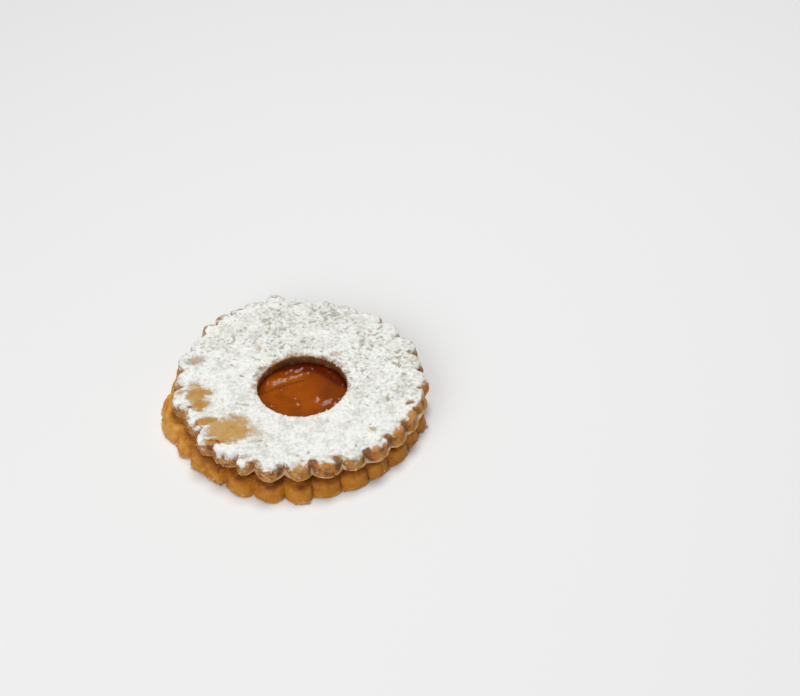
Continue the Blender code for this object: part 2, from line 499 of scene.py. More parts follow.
class Effects:
    """The node groups that the materials share."""

    def __init__(self) -> None:
        """Build each group once."""
        self.crumb = self.crumb_group()
        self.bake = self.bake_group()
        self.dust = self.dust_group()

    @staticmethod
    def begin(name: str, inputs: dict[str, object], outputs: list[str]) -> tuple[Tree, dict, bpy.types.Node]:
        """Start a group with its sockets.

        Args:
            name: The group's name.
            inputs: A first value for each input, a colour or a number.
            outputs: The outputs, where one named Colour is a colour and any other a number.

        Returns:
            The group's tree, its inputs' sockets by name, and its output node.
        """
        group = bpy.data.node_groups.new(name, "ShaderNodeTree")
        for socket, value in inputs.items():
            kind = "NodeSocketColor" if isinstance(value, tuple) else "NodeSocketFloat"
            group.interface.new_socket(socket, in_out="INPUT", socket_type=kind).default_value = value
        for socket in outputs:
            kind = "NodeSocketColor" if socket == "Colour" else "NodeSocketFloat"
            group.interface.new_socket(socket, in_out="OUTPUT", socket_type=kind)
        start = group.nodes.new("NodeGroupInput")
        return Tree(group), {key: start.outputs[key] for key in inputs}, group.nodes.new("NodeGroupOutput")

    def crumb_group(self) -> bpy.types.NodeTree:
        """Crumb: fine grain, coarser crumbs and scattered pits, as a height and a pit mask.

        Returns:
            The group.
        """
        tree, _, end = self.begin("crumb", {}, ["Height", "Pits"])
        fine, coarse = tree.noise(0.35, 3.0), tree.noise(1.3, 4.0)
        cells = tree.add("TexVoronoi", {"Vector": tree.place(), "Scale": 1 / (1.1 * MM), "Randomness": 1.0})
        holes = tree.ramp(cells.outputs["Distance"], 0.16, 0.30, 1.0, 0.0)
        pits = tree.times(holes, tree.ramp(tree.noise(3.0, 2.0), 0.50, 0.62))
        grain = tree.plus(tree.times(fine, 0.35), tree.times(coarse, 0.65))
        tree.feed(end, {"Height": tree.math("SUBTRACT", grain, tree.times(pits, 0.35)), "Pits": pits})
        return tree.tree

    def bake_group(self) -> bpy.types.NodeTree:
        """Oven colour: pale to golden in soft clouds, then toasted and at last brown, with dark grains.

        Returns:
            The group.
        """
        inputs = {
            "Pale": (0.6, 0.4, 0.2, 1), "Golden": (0.5, 0.25, 0.08, 1), "Toasted": (0.4, 0.13, 0.02, 1),
            "Brown": (0.2, 0.08, 0.03, 1), "Toast": 0.0,
        }
        tree, given, end = self.begin("bake", inputs, ["Colour"])
        clouds = tree.ramp(tree.noise(5.5, 3.0), 0.36, 0.64)
        blotches = tree.ramp(tree.noise(1.7, 4.0, 0.6), 0.40, 0.66)
        base = tree.mix(clouds, given["Golden"], given["Pale"])
        base = tree.mix(tree.times(blotches, 0.35), base, given["Golden"])
        uneven = tree.ramp(tree.noise(2.4, 4.0), 0.35, 0.75, -0.22, 0.22)
        toast = tree.plus(given["Toast"], uneven, clamp=True)
        base = tree.mix(tree.ramp(toast, 0.0, 0.6), base, given["Toasted"])
        base = tree.mix(tree.ramp(toast, 0.55, 1.0), base, given["Brown"])
        grains = tree.ramp(tree.noise(0.55, 2.0), 0.60, 0.72, 0.0, 0.35)
        tree.feed(end, {"Colour": tree.mix(grains, base, given["Brown"])})
        return tree.tree

    def dust_group(self) -> bpy.types.NodeTree:
        """Powder: turns how much sugar lies at a place into ragged masks for thin and thick sugar.

        Returns:
            The group.
        """
        tree, given, end = self.begin("dust", {"Cover": 0.0}, ["Thin", "Thick"])
        uneven = tree.plus(tree.swing(0.7, 1.2, 3.0), tree.swing(0.5, 3.4, 2.0))
        level = tree.plus(given["Cover"], tree.plus(tree.swing(1.2, 0.22, 2.0, 0.6), uneven))
        tree.feed(end, {"Thin": tree.ramp(level, 0.08, 0.50), "Thick": tree.ramp(level, 0.24, 0.84)})
        return tree.tree


@dataclass(frozen=True)
class Finish:
    """What every finish has: its name in the file and how it starts."""

    name: str

    def begin(self, values: dict[str, object]) -> tuple[bpy.types.Material, Tree, bpy.types.Node]:
        """Make the material and set the shader's constant values.

        Args:
            values: A value for each named shader input.

        Returns:
            The material, its tree and its Principled shader.
        """
        material = bpy.data.materials.new(self.name)
        material.use_nodes = True
        tree, shader = Tree(material.node_tree), material.node_tree.nodes["Principled BSDF"]
        tree.feed(shader, values)
        return material, tree, shader

    @staticmethod
    def glow(weight: float, radius: tuple[float, float, float], scale: float) -> dict[str, object]:
        """Shader values for light that spreads under the surface, with its scale in millimetres."""
        return {"Subsurface Weight": weight, "Subsurface Radius": radius, "Subsurface Scale": scale * MM}


@dataclass(frozen=True)
class BakedFinish(Finish):
    """A finish with the oven's colours: pale, golden, toasted and brown."""

    pale: Colour
    golden: Colour
    toasted: Colour
    brown: Colour

    def oven_colour(self, tree: Tree, effects: Effects) -> Socket:
        """The bake's colour, by how toasted the mesh is marked.

        Args:
            tree: The material's tree.
            effects: The shared node groups.

        Returns:
            The colour.
        """
        inputs = {
            "Pale": self.pale, "Golden": self.golden, "Toasted": self.toasted, "Brown": self.brown,
            "Toast": tree.mark(Mark.TOAST),
        }
        return tree.add("Group", inputs, node_tree=effects.bake).outputs["Colour"]


@dataclass(frozen=True)
class Shortbread(BakedFinish):
    """Bare baked shortbread: golden and matt, browner where it is toasted and where shade is painted, paler
    at its foot, and lighter where light is painted.
    """

    name: str = "baked_shortbread"
    pale: Colour = (0.635, 0.262, 0.026, 1)
    golden: Colour = (0.565, 0.204, 0.010, 1)
    toasted: Colour = (0.42, 0.135, 0.008, 1)
    brown: Colour = (0.24, 0.070, 0.008, 1)
    # Painted light: the lit left flank and the painted highlights on its knobs.
    bright: Colour = (0.95, 0.53, 0.115, 1)
    cream: Colour = (0.80, 0.55, 0.25, 1)

    def dress(self, effects: Effects) -> bpy.types.Material:
        """Mix the oven colour with cream where the mesh is marked, over a crumbly relief.

        Args:
            effects: The shared node groups.

        Returns:
            The material.
        """
        glow = self.glow(0.08, (1.0, 0.45, 0.2), 1.0)
        material, tree, shader = self.begin({"Specular IOR Level": 0.28, **glow})
        crumb = tree.add("Group", node_tree=effects.crumb)
        # Painted light: the tone mark lays the bright colour on the left flank and on the knobs' highlights.
        colour = tree.mix(tree.mark(Mark.TONE), self.oven_colour(tree, effects), self.bright)
        colour = tree.mix(tree.mark(Mark.CREAM), colour, self.cream)
        tree.feed(shader, {
            "Base Color": tree.mix(tree.times(crumb.outputs["Pits"], 0.45), colour, self.brown),
            "Roughness": tree.ramp(tree.noise(0.9), 0.3, 0.7, 0.48, 0.68),
            "Normal": tree.bump(crumb.outputs["Height"], 0.45, 0.25),
        })
        return material


@dataclass(frozen=True)
class SugaredShortbread(BakedFinish):
    """Shortbread under powdered sugar, which hides the bake where enough of it lies."""

    name: str = "sugared_shortbread_bake"
    pale: Colour = (0.59, 0.355, 0.120, 1)
    golden: Colour = (0.47, 0.242, 0.062, 1)
    toasted: Colour = (0.55, 0.200, 0.022, 1)
    brown: Colour = (0.22, 0.080, 0.022, 1)
    stain: Colour = (0.045, 0.007, 0.001, 1)
    cream: Colour = (0.86, 0.68, 0.42, 1)
    sugar: Colour = (0.915, 0.915, 0.865, 1)
    # Painted shade: a greyer white laid in random clouds for the shade of the sugar's soft lumps.
    shaded_sugar: Colour = (0.66, 0.655, 0.585, 1)
    # Painted shade in the pores, partly the dough under thin sugar.
    pore: Colour = (0.30, 0.27, 0.20, 1)
    thin_sugar: Colour = (0.56, 0.50, 0.40, 1)
    veil: float = 0.55

    def bare_colour(self, tree: Tree, effects: Effects, pits: Socket) -> Socket:
        """The oven colour, darker in its pits, with cream and stain where the mesh is marked.

        Args:
            tree: The material's tree.
            effects: The shared node groups.
            pits: How far into a pit each place lies.

        Returns:
            The colour without sugar.
        """
        bare = tree.mix(tree.times(pits, 0.4), self.oven_colour(tree, effects), self.brown)
        bare = tree.mix(tree.mark(Mark.CREAM), bare, self.cream)
        return tree.mix(tree.mark(Mark.STAIN), bare, self.stain)

    def white(self, tree: Tree) -> Socket:
        """The sugar's white, greyed by painted shade in random clouds and in its pores.

        Args:
            tree: The material's tree.

        Returns:
            The colour where sugar lies thick.
        """
        # Painted shade: random clouds between the greyer and the whiter sugar.
        tone = tree.plus(tree.times(tree.noise(1.4, 5.0, 0.62), 0.6), tree.times(tree.noise(5.0, 2.0), 0.4))
        white = tree.mix(tree.ramp(tone, 0.35, 0.58), self.shaded_sugar, self.sugar)
        ragged = tree.ramp(tree.noise(0.5, 3.0), 0.3, 0.6, 0.35, 0.9)
        # Painted shade in the pores.
        return tree.mix(tree.times(tree.mark(Mark.PORE), ragged), white, self.pore)

    def dress(self, effects: Effects) -> bpy.types.Material:
        """Lay the sugar's white over the oven colour by the ragged powder mask.

        Args:
            effects: The shared node groups.

        Returns:
            The material.
        """
        glow = self.glow(0.1, (1.0, 0.8, 0.6), 0.6)
        material, tree, shader = self.begin({"Specular IOR Level": 0.25, **glow})
        crumb = tree.add("Group", node_tree=effects.crumb)
        bare = self.bare_colour(tree, effects, crumb.outputs["Pits"])
        dust = tree.add("Group", {"Cover": tree.mark(Mark.SUGAR)}, node_tree=effects.dust)
        thick = dust.outputs["Thick"]
        thin = tree.mix(dust.outputs["Thin"], bare, tree.mix(self.veil, bare, self.thin_sugar))
        clumps = tree.times(tree.noise(0.9, 4.0, 0.6), thick)
        tree.feed(shader, {
            "Base Color": tree.mix(thick, thin, self.white(tree)),
            "Roughness": tree.ramp(thick, 0.0, 1.0, 0.62, 0.95),
            "Normal": tree.bump(tree.plus(crumb.outputs["Height"], clumps), 0.5, 0.3),
        })
        return material


@dataclass(frozen=True)
class ApricotJam(Finish):
    """Set apricot jam: glossy and clear amber, with painted shade in a darker red near the window's wall and
    in the fold's crease.
    """

    name: str = "set_apricot_jam"
    amber: Colour = (0.35, 0.075, 0.0003, 1)
    olive: Colour = (0.33, 0.086, 0.0006, 1)
    # Painted shade: the darker red near the window's wall, at the back, to the right and in the crease, also
    # laid in random clouds.
    shaded_red: Colour = (0.10, 0.010, 0.0005, 1)
    pulp: Colour = (0.50, 0.14, 0.006, 1)

    def dress(self, effects: Effects) -> bpy.types.Material:
        """Amber that turns a darker red by the mesh's painted shade and in random clouds, with soft clouds of
        pulp, under a wet gloss.

        Args:
            effects: The shared node groups, not used here.

        Returns:
            The material.
        """
        gloss = {"IOR": 1.37, "Specular IOR Level": 0.30, "Coat Weight": 0.05, "Coat Roughness": 0.08}
        material, tree, shader = self.begin({**gloss, **self.glow(0.3, (1.0, 0.35, 0.08), 1.5)})
        colour = tree.mix(tree.mark(Mark.TONE), self.amber, self.olive)
        # Painted shade: the toast mark here holds the jam's shade near the wall and in the crease.
        colour = tree.mix(tree.mark(Mark.TOAST), colour, self.shaded_red)
        colour = tree.mix(tree.ramp(tree.noise(6.0, 2.0), 0.40, 0.70, 0.0, 0.35), colour, self.shaded_red)
        tree.feed(shader, {
            "Base Color": tree.mix(tree.ramp(tree.noise(1.6, 2.0), 0.62, 0.78, 0.0, 0.25), colour, self.pulp),
            "Roughness": tree.ramp(tree.noise(1.5), 0.4, 0.7, 0.18, 0.28),
            "Normal": tree.bump(tree.noise(3.0, 2.0), 0.10, 0.3),
        })
        return material


@dataclass(frozen=True)
class PowderedSugar(Finish):
    """Loose clumps of powdered sugar: chalk white, with a faint grain."""

    name: str = "powdered_sugar"
    bright: Colour = (0.91, 0.91, 0.88, 1)
    shade: Colour = (0.83, 0.82, 0.78, 1)

    def dress(self, effects: Effects) -> bpy.types.Material:
        """White with a faint grain in colour and relief.

        Args:
            effects: The shared node groups, not used here.

        Returns:
            The material.
        """
        material, tree, shader = self.begin({"Specular IOR Level": 0.2})
        grain = tree.noise(0.12, 3.0)
        tree.feed(shader, {
            "Base Color": tree.mix(tree.ramp(grain, 0.35, 0.65), self.shade, self.bright),
            "Roughness": tree.ramp(grain, 0.3, 0.7, 0.9, 1.0),
            "Normal": tree.bump(grain, 0.4, 0.05),
        })
        return material


@dataclass(frozen=True)
class LooseCrumb(Finish):
    """Shortbread crumbs, from cream to golden."""

    name: str = "shortbread_crumb"
    cream: Colour = (0.74, 0.53, 0.28, 1)
    golden: Colour = (0.48, 0.23, 0.065, 1)

    def dress(self, effects: Effects) -> bpy.types.Material:
        """Each crumb takes its own tone between cream and golden, over a crumbly relief.

        Args:
            effects: The shared node groups.

        Returns:
            The material.
        """
        material, tree, shader = self.begin({"Roughness": 0.85, "Specular IOR Level": 0.15})
        crumb = tree.add("Group", node_tree=effects.crumb)
        cloud = tree.ramp(tree.noise(0.3), 0.3, 0.7, -0.2, 0.2)
        tone = tree.plus(tree.mark(Mark.TONE), cloud, clamp=True)
        tree.feed(shader, {
            "Base Color": tree.mix(tone, self.cream, self.golden),
            "Normal": tree.bump(crumb.outputs["Height"], 0.5, 0.1),
        })
        return material


@dataclass(frozen=True)
class Side:
    """A side's outline as heights, insets from the rim and notch depths, in millimetres."""

    levels: tuple[tuple[float, float, float], ...]

    def sampled(self, count: int) -> tuple[np.ndarray, np.ndarray, np.ndarray, np.ndarray]:
        """Read the outline at even steps along it.

        Args:
            count: How many steps to read.

        Returns:
            Heights, insets, notch depths and the length along the outline, in metres, one row each.
        """
        level = np.array(self.levels) * MM
        along = np.concatenate([[0.0], np.cumsum(np.hypot(*np.diff(level[:, :2], axis=0).T))])
        where = np.linspace(0.0, along[-1], count)
        height, inset, notch = (smooth_through(along, level[:, k], where)[:, None] for k in range(3))
        return height, inset, notch, where[:, None]


@dataclass(frozen=True)
class Oval:
    """An uneven oval place on the crown, in millimetres and degrees."""

    x: float
    y: float
    across: float
    along: float
    turn: float = 0.0
    strength: float = 1.0
    soft: float = 0.35

    def share(self, points: np.ndarray, wobble: np.ndarray) -> np.ndarray:
        """How far each point lies inside, times the strength.

        The distance is that of an ellipse with its sizes as 1, made uneven by the wobble, and
        the share fades over the softness on both sides of 1.

        Args:
            points: Places in metres.
            wobble: A small number for each place.

        Returns:
            0 outside, up to the strength inside.
        """
        angle = np.radians(self.turn)
        x = points[..., 0] / MM - self.x
        y = points[..., 1] / MM - self.y
        u = (x * np.cos(angle) + y * np.sin(angle)) / self.across
        v = (y * np.cos(angle) - x * np.sin(angle)) / self.along
        distance = np.hypot(u, v) + wobble
        return self.strength * smoothstep(1 + self.soft, 1 - self.soft, distance)


@dataclass(frozen=True)
class Skin:
    """A finished surface: its points, their normals and how much sugar lies on each."""

    points: np.ndarray
    normals: np.ndarray
    sugar: np.ndarray


@dataclass(frozen=True)
class Shell:
    """A round before its relief.

    It has the rings of points and their columns, each ring's length from the foot over the side
    and the crown, and each point's height above the round's base.
    """

    rings: np.ndarray
    columns: Columns
    along: np.ndarray
    height: np.ndarray


@dataclass(frozen=True)
class Window:
    """The round window through the upper round."""

    centre: tuple[float, float] = (2.9138 * MM, -3.8816 * MM)
    radius: float = 15.2 * MM
    oval: Wave = Wave(2, 0.25 * MM, 20)

    def radius_at(self, direction: np.ndarray) -> np.ndarray:
        """How far the wall stands from the centre towards each direction."""
        return self.radius + self.oval.at(direction)

    def beyond(self, points: np.ndarray) -> np.ndarray:
        """How far each point lies outside the window's mean circle."""
        return np.hypot(points[..., 0] - self.centre[0], points[..., 1] - self.centre[1]) - self.radius


@dataclass(frozen=True)
class UpperRound:
    """The sugared round: a scalloped side with a thin foot, a crown under sugar and a window.

    Spans and tables are in millimetres, degrees and shares. A span is where something starts and
    where it is complete, as a height above the base unless its name says otherwise. Left and
    left_front are a direction, and how far from it the share has fallen to 0 and is still 1.
    """

    scalloping: Scalloping = Scalloping(
        reach=43.2 * MM,
        reach_waves=(Wave(2, 0.8 * MM, -50), Wave(3, 0.6 * MM, 0)),
        first_tip=271.7,
        crowding=(Wave(1, 4.0, 10), Wave(2, 4.1, 67), Wave(3, 1.5, -15)),
        seed=91526,
        strays=(
            (1, -0.5), (2, -0.8), (3, -0.4), (4, 0.4), (8, -0.7), (10, 0.9), (14, 0.4), (15, 3.1), (16, 1.2),
            (18, 0.4), (23, 1.4), (24, -2.1), (25, -0.4), (28, -0.4),
        ),
        notches=(
            (0, -2.2, -1.6), (1, 0.2, -0.8), (2, 1.1, -0.7), (3, 1.5, 0.3), (4, 3.9, 0.3), (5, -1.1, 0.9),
            (6, -1.8, 1.0), (7, -2.2, 0.3), (8, -0.7, -0.7), (9, -1.4, 0.5), (10, -1.2, 0.8), (11, -0.8, 1.0),
            (12, -0.5, 0.8), (13, 0.3, 0.5), (14, 1.8, 0.1), (16, 2.2, 2.0), (17, 3.0, 2.3), (18, 2.0, 0.8),
            (19, 2.0, 0.8), (20, -1.0, 1.2), (24, 0.0, 0.4), (25, 0.0, 0.5), (26, -2.0, 0.5),
            (27, -1.1, -0.2), (28, -3.7, -1.0),
        ),
    )
    centre: tuple[float, float] = (1.9138 * MM, -0.5816 * MM)
    base: float = 8.5 * MM
    ceiling: float = 13.98 * MM
    side: Side = Side((
        (0.0, 1.0, 2.2), (0.3, 0.1, 2.4), (0.6, 0.0, 2.5), (1.3, 0.35, 2.6), (2.8, 0.7, 2.7),
        (4.1, 1.2, 2.8), (5.0, 2.1, 2.8), (5.4, 3.5, 2.1), (5.5, 6.5, 0.3),
    ))
    wall: Side = Side((
        (5.5, -1.2, 0.0), (5.44, -0.2, 0.0), (5.1, 0.3, 0.0), (4.5, 0.35, 0.0), (0.0, 0.0, 0.0),
    ))
    window: Window = Window()
    steps: int = 20
    side_rings: int = 36
    crown_rings: int = 90
    wall_rings: int = 16
    under_rings: int = 8
    crown_dip: float = 0.15 * MM
    dip_wavelength: float = 22.0 * MM
    sugar_depth: float = 0.42 * MM

    # The thin webs of dough in the notches and how the notches fade upwards
    webbing: Table = ((0, 1), (40, 0.2), (180, 0), (260, 0.3), (275, 1), (360, 1))
    web_fade: float = 0.6 * MM
    web_stand_in: float = 0.7 * MM
    web_lip: Span = (0.4, 0.8)
    plump_part: Span = (0.7, 1.4)
    notch_narrows: Span = (3.0, 5.4)
    notch_fades_by_inset: Span = (2.2, 6.5)
    front_notches: Table = ((0, 0.6), (20, 0), (236, 0), (250, 1), (335, 1), (360, 0.6))
    front_notch_fades: Span = (1.6, 4.6)

    # Where the sugar starts on the side, up from the foot, and where it runs down into the notches
    sugar_edge: Table = (
        (0, 4.8), (40, 4.8), (90, 4.6), (112, 5.0), (122, 7.0), (138, 6.8), (148, 4.8), (175, 4.2),
        (185, 4.6), (190, 6.0), (203, 6.2), (213, 5.2), (235, 5.6), (248, 6.2), (256, 6.2), (263, 6.4),
        (268, 6.6), (276, 8.0), (280, 7.4), (286, 6.4), (293, 5.8), (299, 4.9), (304, 6.0), (311, 6.0),
        (318, 6.6), (324, 6.8), (332, 7.4), (340, 6.4), (350, 5.2), (360, 4.8),
    )
    sugar_runs_down: Table = ((0, 0), (244, 0), (252, 1), (294, 1), (303, 0), (360, 0))
    sugar_edge_blur: Span = (-1.7, 1.9)
    dusting: Table = (
        (0, 0.1), (60, 0.2), (110, 0.25), (125, 0.4), (140, 0.4), (160, 0.25), (200, 0.26), (215, 0.40),
        (255, 0.40), (268, 0.32), (285, 0.1), (330, 0.02), (360, 0.1),
    )
    dusty_part: Span = (0.8, 3.6)
    left: tuple[float, float, float] = (180, 70, 25)
    lip_sugar: Span = (4.1, 5.35)
    worn_by_window: Span = (2.9, -0.4)
    worn_most: float = 0.64
    heaped_part: Span = (2.6, 4.0)

    bare: tuple[Oval, ...] = (
        Oval(-37.6, -6.6, 1.2, 2.0, 0, 0.6, 0.7), Oval(-31.9, -7.4, 3.5, 5.2, 8, 1.0, 0.5),
        Oval(-30.2, -12.2, 3.1, 3.4, 0, 1.0, 0.5), Oval(-28.4, -6.6, 2.2, 1.5, -20, 0.9),
        Oval(-28.0, -20.3, 4.4, 1.9, 12), Oval(-20.4, -24.2, 7.4, 5.8, 0, 1.0, 0.55),
        Oval(-24.4, -29.5, 3.6, 2.1, 8), Oval(-13.2, -24.8, 4.6, 4.2, 0, 0.55, 0.8),
        Oval(-33.7, 9.4, 1.9, 1.5, 0, 0.6, 0.95), Oval(-10.3, -29.6, 3.6, 0.6, 8, 0.45, 0.6),
        Oval(-15.5, -12.8, 2.9, 0.7, -10, 0.5, 0.6), Oval(26.6, -25.0, 1.6, 0.9, -25, 0.6, 0.6),
        Oval(37.8, -22.3, 3.0, 1.2, -26, 0.85, 0.5), Oval(31.5, -10.8, 0.8, 0.8, 0, 0.55, 0.5),
        Oval(18.2, -21.4, 1.5, 0.8, 0, 0.4, 0.6), Oval(11.6, -20.8, 1.2, 0.9, 0, 0.4, 0.6),
        Oval(13.6, 11.4, 1.9, 1.2, 0, 0.5, 0.5), Oval(-12.2, 14.2, 1.0, 1.8, 0, 0.45, 0.5),
    )
    thin_spot: Oval = Oval(-33.3, 9.2, 3.2, 2.2, 0, 1.0, 0.6)
    toasted_spot: Oval = Oval(-31.3, -12.4, 1.0, 0.8, 0, 0.45, 0.8)
    pits: tuple[Oval, ...] = (
        Oval(7.4, -39.3, 1.6, 1.5, 0, 0.9, 0.5), Oval(15.5, -37.9, 1.7, 1.8, 0, 0.9, 0.5),
        Oval(25.0, -34.6, 1.5, 1.3, 0, 0.9, 0.5), Oval(31.1, -28.2, 1.5, 1.5, 0, 0.9, 0.5),
        Oval(36.7, -21.2, 1.2, 1.3, 0, 0.7, 0.5), Oval(39.0, -12.6, 2.0, 0.9, 30, 0.8, 0.5),
        Oval(-3.0, -40.6, 1.2, 1.0, 0, 0.7, 0.5), Oval(-13.9, -36.6, 3.2, 1.5, 20, 0.5, 0.7),
    )
    pit_halo: float = 1.5
    heaps: tuple[Oval, ...] = (
        Oval(-39.6, -11.2, 1.8, 2.1), Oval(-36.1, -14.2, 1.4, 2.8), Oval(-35.2, -21.0, 2.6, 2.9),
        Oval(-33.0, -24.2, 3.0, 1.5, 30), Oval(-30.6, -28.3, 2.6, 2.9), Oval(-24.0, -33.0, 2.8, 2.5),
        Oval(-18.6, -34.2, 2.1, 2.2), Oval(-15.9, -39.0, 2.0, 1.9),
    )

    # The pale line at the foot, the toasted parts and the painted shade in the notches
    foot_line: Table = (
        (0, 0.5), (30, 0.2), (60, 0.05), (180, 0), (230, 0.2), (262, 0.5), (278, 1), (345, 1), (360, 0.5),
    )
    rim_by_length: Span = (11, 8)
    # Heights where the painted shade in the notches starts and is complete.
    notch_shaded: Span = (2.0, 4.2)
    underside: Span = (4.2, 2.0)
    speckled_part: Span = (0.6, 1.6)
    left_front: tuple[float, float, float] = (240, 45, 25)
    toast_by_window: Span = (4.4, 2.8)
    wall_foot_stain: Span = (3.5, 1.6)

    def side_radius(
        self, columns: Columns, height: np.ndarray, inset: np.ndarray, notch: np.ndarray
    ) -> np.ndarray:
        """How far the side stands out: the rim less the inset, less the notch depth by the hollow.

        A thin web of dough closes the foot of a notch where the webbing says so. Above it the
        notch is deeper, narrows upwards and fades over the crown, and at the front sooner.

        Args:
            columns: The round's columns.
            height: Each ring's height above the base.
            inset: Each ring's inset from the rim.
            notch: Each ring's notch depth.

        Returns:
            A distance from the centre for each point.
        """
        hollow = columns.hollow()
        webbed = by_direction(self.webbing, columns.direction)[None, :]
        web_top = (0.4 + 1.8 * hollow**2 * webbed) * MM
        web = 1 - smoothstep(0.0, 1.0, (height - web_top) / self.web_fade)
        notch_depth = (notch + self.web_stand_in) * (1 - web) + notch * web
        stand_in = inset * (1 - web * webbed * millistep(*self.web_lip, height))
        plump = 1 - 0.5 * (1 - webbed) * millistep(*self.plump_part, height)
        stand_in = stand_in - np.minimum(stand_in, self.web_stand_in) * (1 - plump)
        narrowing = 1 + 0.5 * millistep(*self.notch_narrows, height)
        front = by_direction(self.front_notches, columns.direction)[None, :]
        fading = 1 - millistep(*self.notch_fades_by_inset, inset)
        fading = fading * (1 - 0.5 * front * millistep(*self.front_notch_fades, height))
        return columns.rim[None, :] - stand_in - notch_depth * fading * hollow**narrowing

    def shell(self) -> Shell:
        """Lay the bare round's rings: up the side, in over the crown, down the wall, out below.

        Returns:
            The round before its relief.
        """
        columns = self.scalloping.columns(self.steps)
        direction = columns.direction[None, :]
        height, inset, notch, along = self.side.sampled(self.side_rings)
        radius = self.side_radius(columns, height, inset, notch)
        side = around(self.centre, direction, radius, self.base + height)

        height, inset, _, _ = self.wall.sampled(self.wall_rings)
        radius = self.window.radius_at(columns.direction)[None, :] - inset
        wall = around(self.window.centre, direction, radius, self.base + height)
        crown = blended(side[-1], wall[0], np.linspace(0, 1, self.crown_rings + 2)[1:-1])
        under = blended(wall[-1], side[0], np.linspace(0, 1, self.under_rings + 2)[1:-1])
        rings = np.concatenate([side, crown, wall, under])

        span = np.linalg.norm(crown[:, 0] - side[-1][0], axis=-1)[:, None]
        past = np.full((self.wall_rings, 1), along[-1] + (span[-1] + 1 * MM))
        along = np.concatenate([along, along[-1] + span, past, np.zeros((self.under_rings, 1))])
        return Shell(rings, columns, along, rings[..., 2] - self.base)

    def in_window(self, shell: Shell) -> np.ndarray:
        """Whether each ring is the wall's or lies below, as one column."""
        return np.arange(len(shell.rings))[:, None] >= self.side_rings + self.crown_rings

    def crown_settling(self, points: np.ndarray) -> np.ndarray:
        """The crown's slow dip: half the depth times one less a sine along x by a cosine along y.

        Args:
            points: Places in metres.

        Returns:
            How far each place sinks.
        """
        turn = 2 * np.pi / self.dip_wavelength
        x = (points[..., 0] - self.centre[0]) * turn + 1.0
        y = (points[..., 1] - self.centre[1]) * turn - 0.5
        return self.crown_dip * (1 - np.sin(x) * np.cos(y)) / 2

    def fallen_sugar(self, shell: Shell, ragged: np.ndarray, fine: np.ndarray) -> np.ndarray:
        """How much sugar fell on each point, before anything was rubbed off.

        It starts above an uneven edge on the side, which lies lower in the notches at the front.
        Dust lies below that edge, on the window's lip and on its wall.

        Args:
            shell: The bare round.
            ragged: Coarse noise at each point.
            fine: Fine noise at each point.

        Returns:
            The cover, from 0 to 1.
        """
        columns, height = shell.columns, shell.height
        hollow = 1 - columns.fullness
        edge = by_direction(self.sugar_edge, columns.direction) * MM
        runs_down = by_direction(self.sugar_runs_down, columns.direction)
        start = edge + (0.5 * hollow**3 - 1.7 * runs_down * hollow**1.5) * MM
        drift = Lumps(23, 6.5).at(shell.rings)
        from_edge = shell.along - start[None, :] + (ragged * 1.3 + drift) * MM
        cover = millistep(*self.sugar_edge_blur, from_edge)
        dusty = by_direction(self.dusting, columns.direction)[None, :]
        dust = dusty * millistep(*self.dusty_part, height) * (0.5 + 1.4 * ragged + 2.0 * fine)
        at_left = facing(columns.direction, *self.left)
        lip = millistep(*self.lip_sugar, height + (ragged * 0.5 + fine * 0.3 + 0.9 * at_left) * MM)
        # Sugar dust on the window's wall, thicker at the left, where it also paints the light on that wall.
        wall_dust = (0.08 + 0.46 * at_left) * (0.7 + 1.2 * fine)
        return np.where(self.in_window(shell), np.maximum(lip, wall_dust), np.maximum(cover, dust))

    def sugar_cover(self, shell: Shell) -> tuple[np.ndarray, np.ndarray]:
        """Work out how much sugar lies at each point, and where it is heaped.

        The fallen sugar is worn near the window, but not in front of it. The bare places and the
        pits take it away, and the heaps bring it back.

        Args:
            shell: The bare round.

        Returns:
            The cover and the heaps, each from 0 to 1.
        """
        points = shell.rings
        ragged, fine = Lumps(21, 2.2, 3).at(points), Lumps(25, 0.9, 2).at(points)
        cover = self.fallen_sugar(shell, ragged, fine)
        behind_front = smoothstep(-0.75, 0.1, (points[..., 1] - self.window.centre[1]) / self.window.radius)
        from_wall = self.window.beyond(points) + (ragged * 0.9 + fine * 0.8) * MM
        cover = cover * (1 - self.worn_most * (behind_front * millistep(*self.worn_by_window, from_wall)))

        streaks = Lumps(33, 1.3, 2).at(points * np.array([0.3, 1.0, 1.0]))
        wobble = 0.20 * ragged + 0.14 * streaks
        taken = np.maximum.reduce([oval.share(points, wobble) for oval in self.bare + self.pits])
        heaped = np.maximum.reduce([oval.share(points, 0.6 * wobble) for oval in self.heaps])
        upper_side = millistep(*self.heaped_part, shell.height + ragged * 0.8 * MM)
        heaped = heaped * (upper_side * ~self.in_window(shell))
        return np.maximum(cover * (1 - taken), heaped), heaped

    def pores(self, points: np.ndarray) -> np.ndarray:
        """Small pores in the sugar, from 0 to 1: noise above a level, lower at the back and right.

        A haze lies over them at the back, and one thin spot on the left counts as all pores.

        Args:
            points: Places in metres.

        Returns:
            The share for each place.
        """
        grain, fine = Lumps(41, 1.7, 2).at(points), Lumps(51, 0.95).at(points)
        drift = Lumps(61, 9.0, 2).at(points)
        away = (points[..., 1] * 0.85 + points[..., 0] * 0.35) / (40 * MM)
        level = 0.46 - 0.32 * away - 0.34 * drift
        wide, small = (smoothstep(level, level + 0.6, noise) for noise in (grain, fine))
        open_pores = np.maximum(wide, 0.8 * small)
        haze = 0.08 * millistep(2, 34, points[..., 1]) * millistep(-34, 0, points[..., 0])
        spot = self.thin_spot.share(points, 0.5 * Lumps(87, 1.4, 2).at(points))
        return np.maximum(open_pores * (1 - haze) + haze, spot)

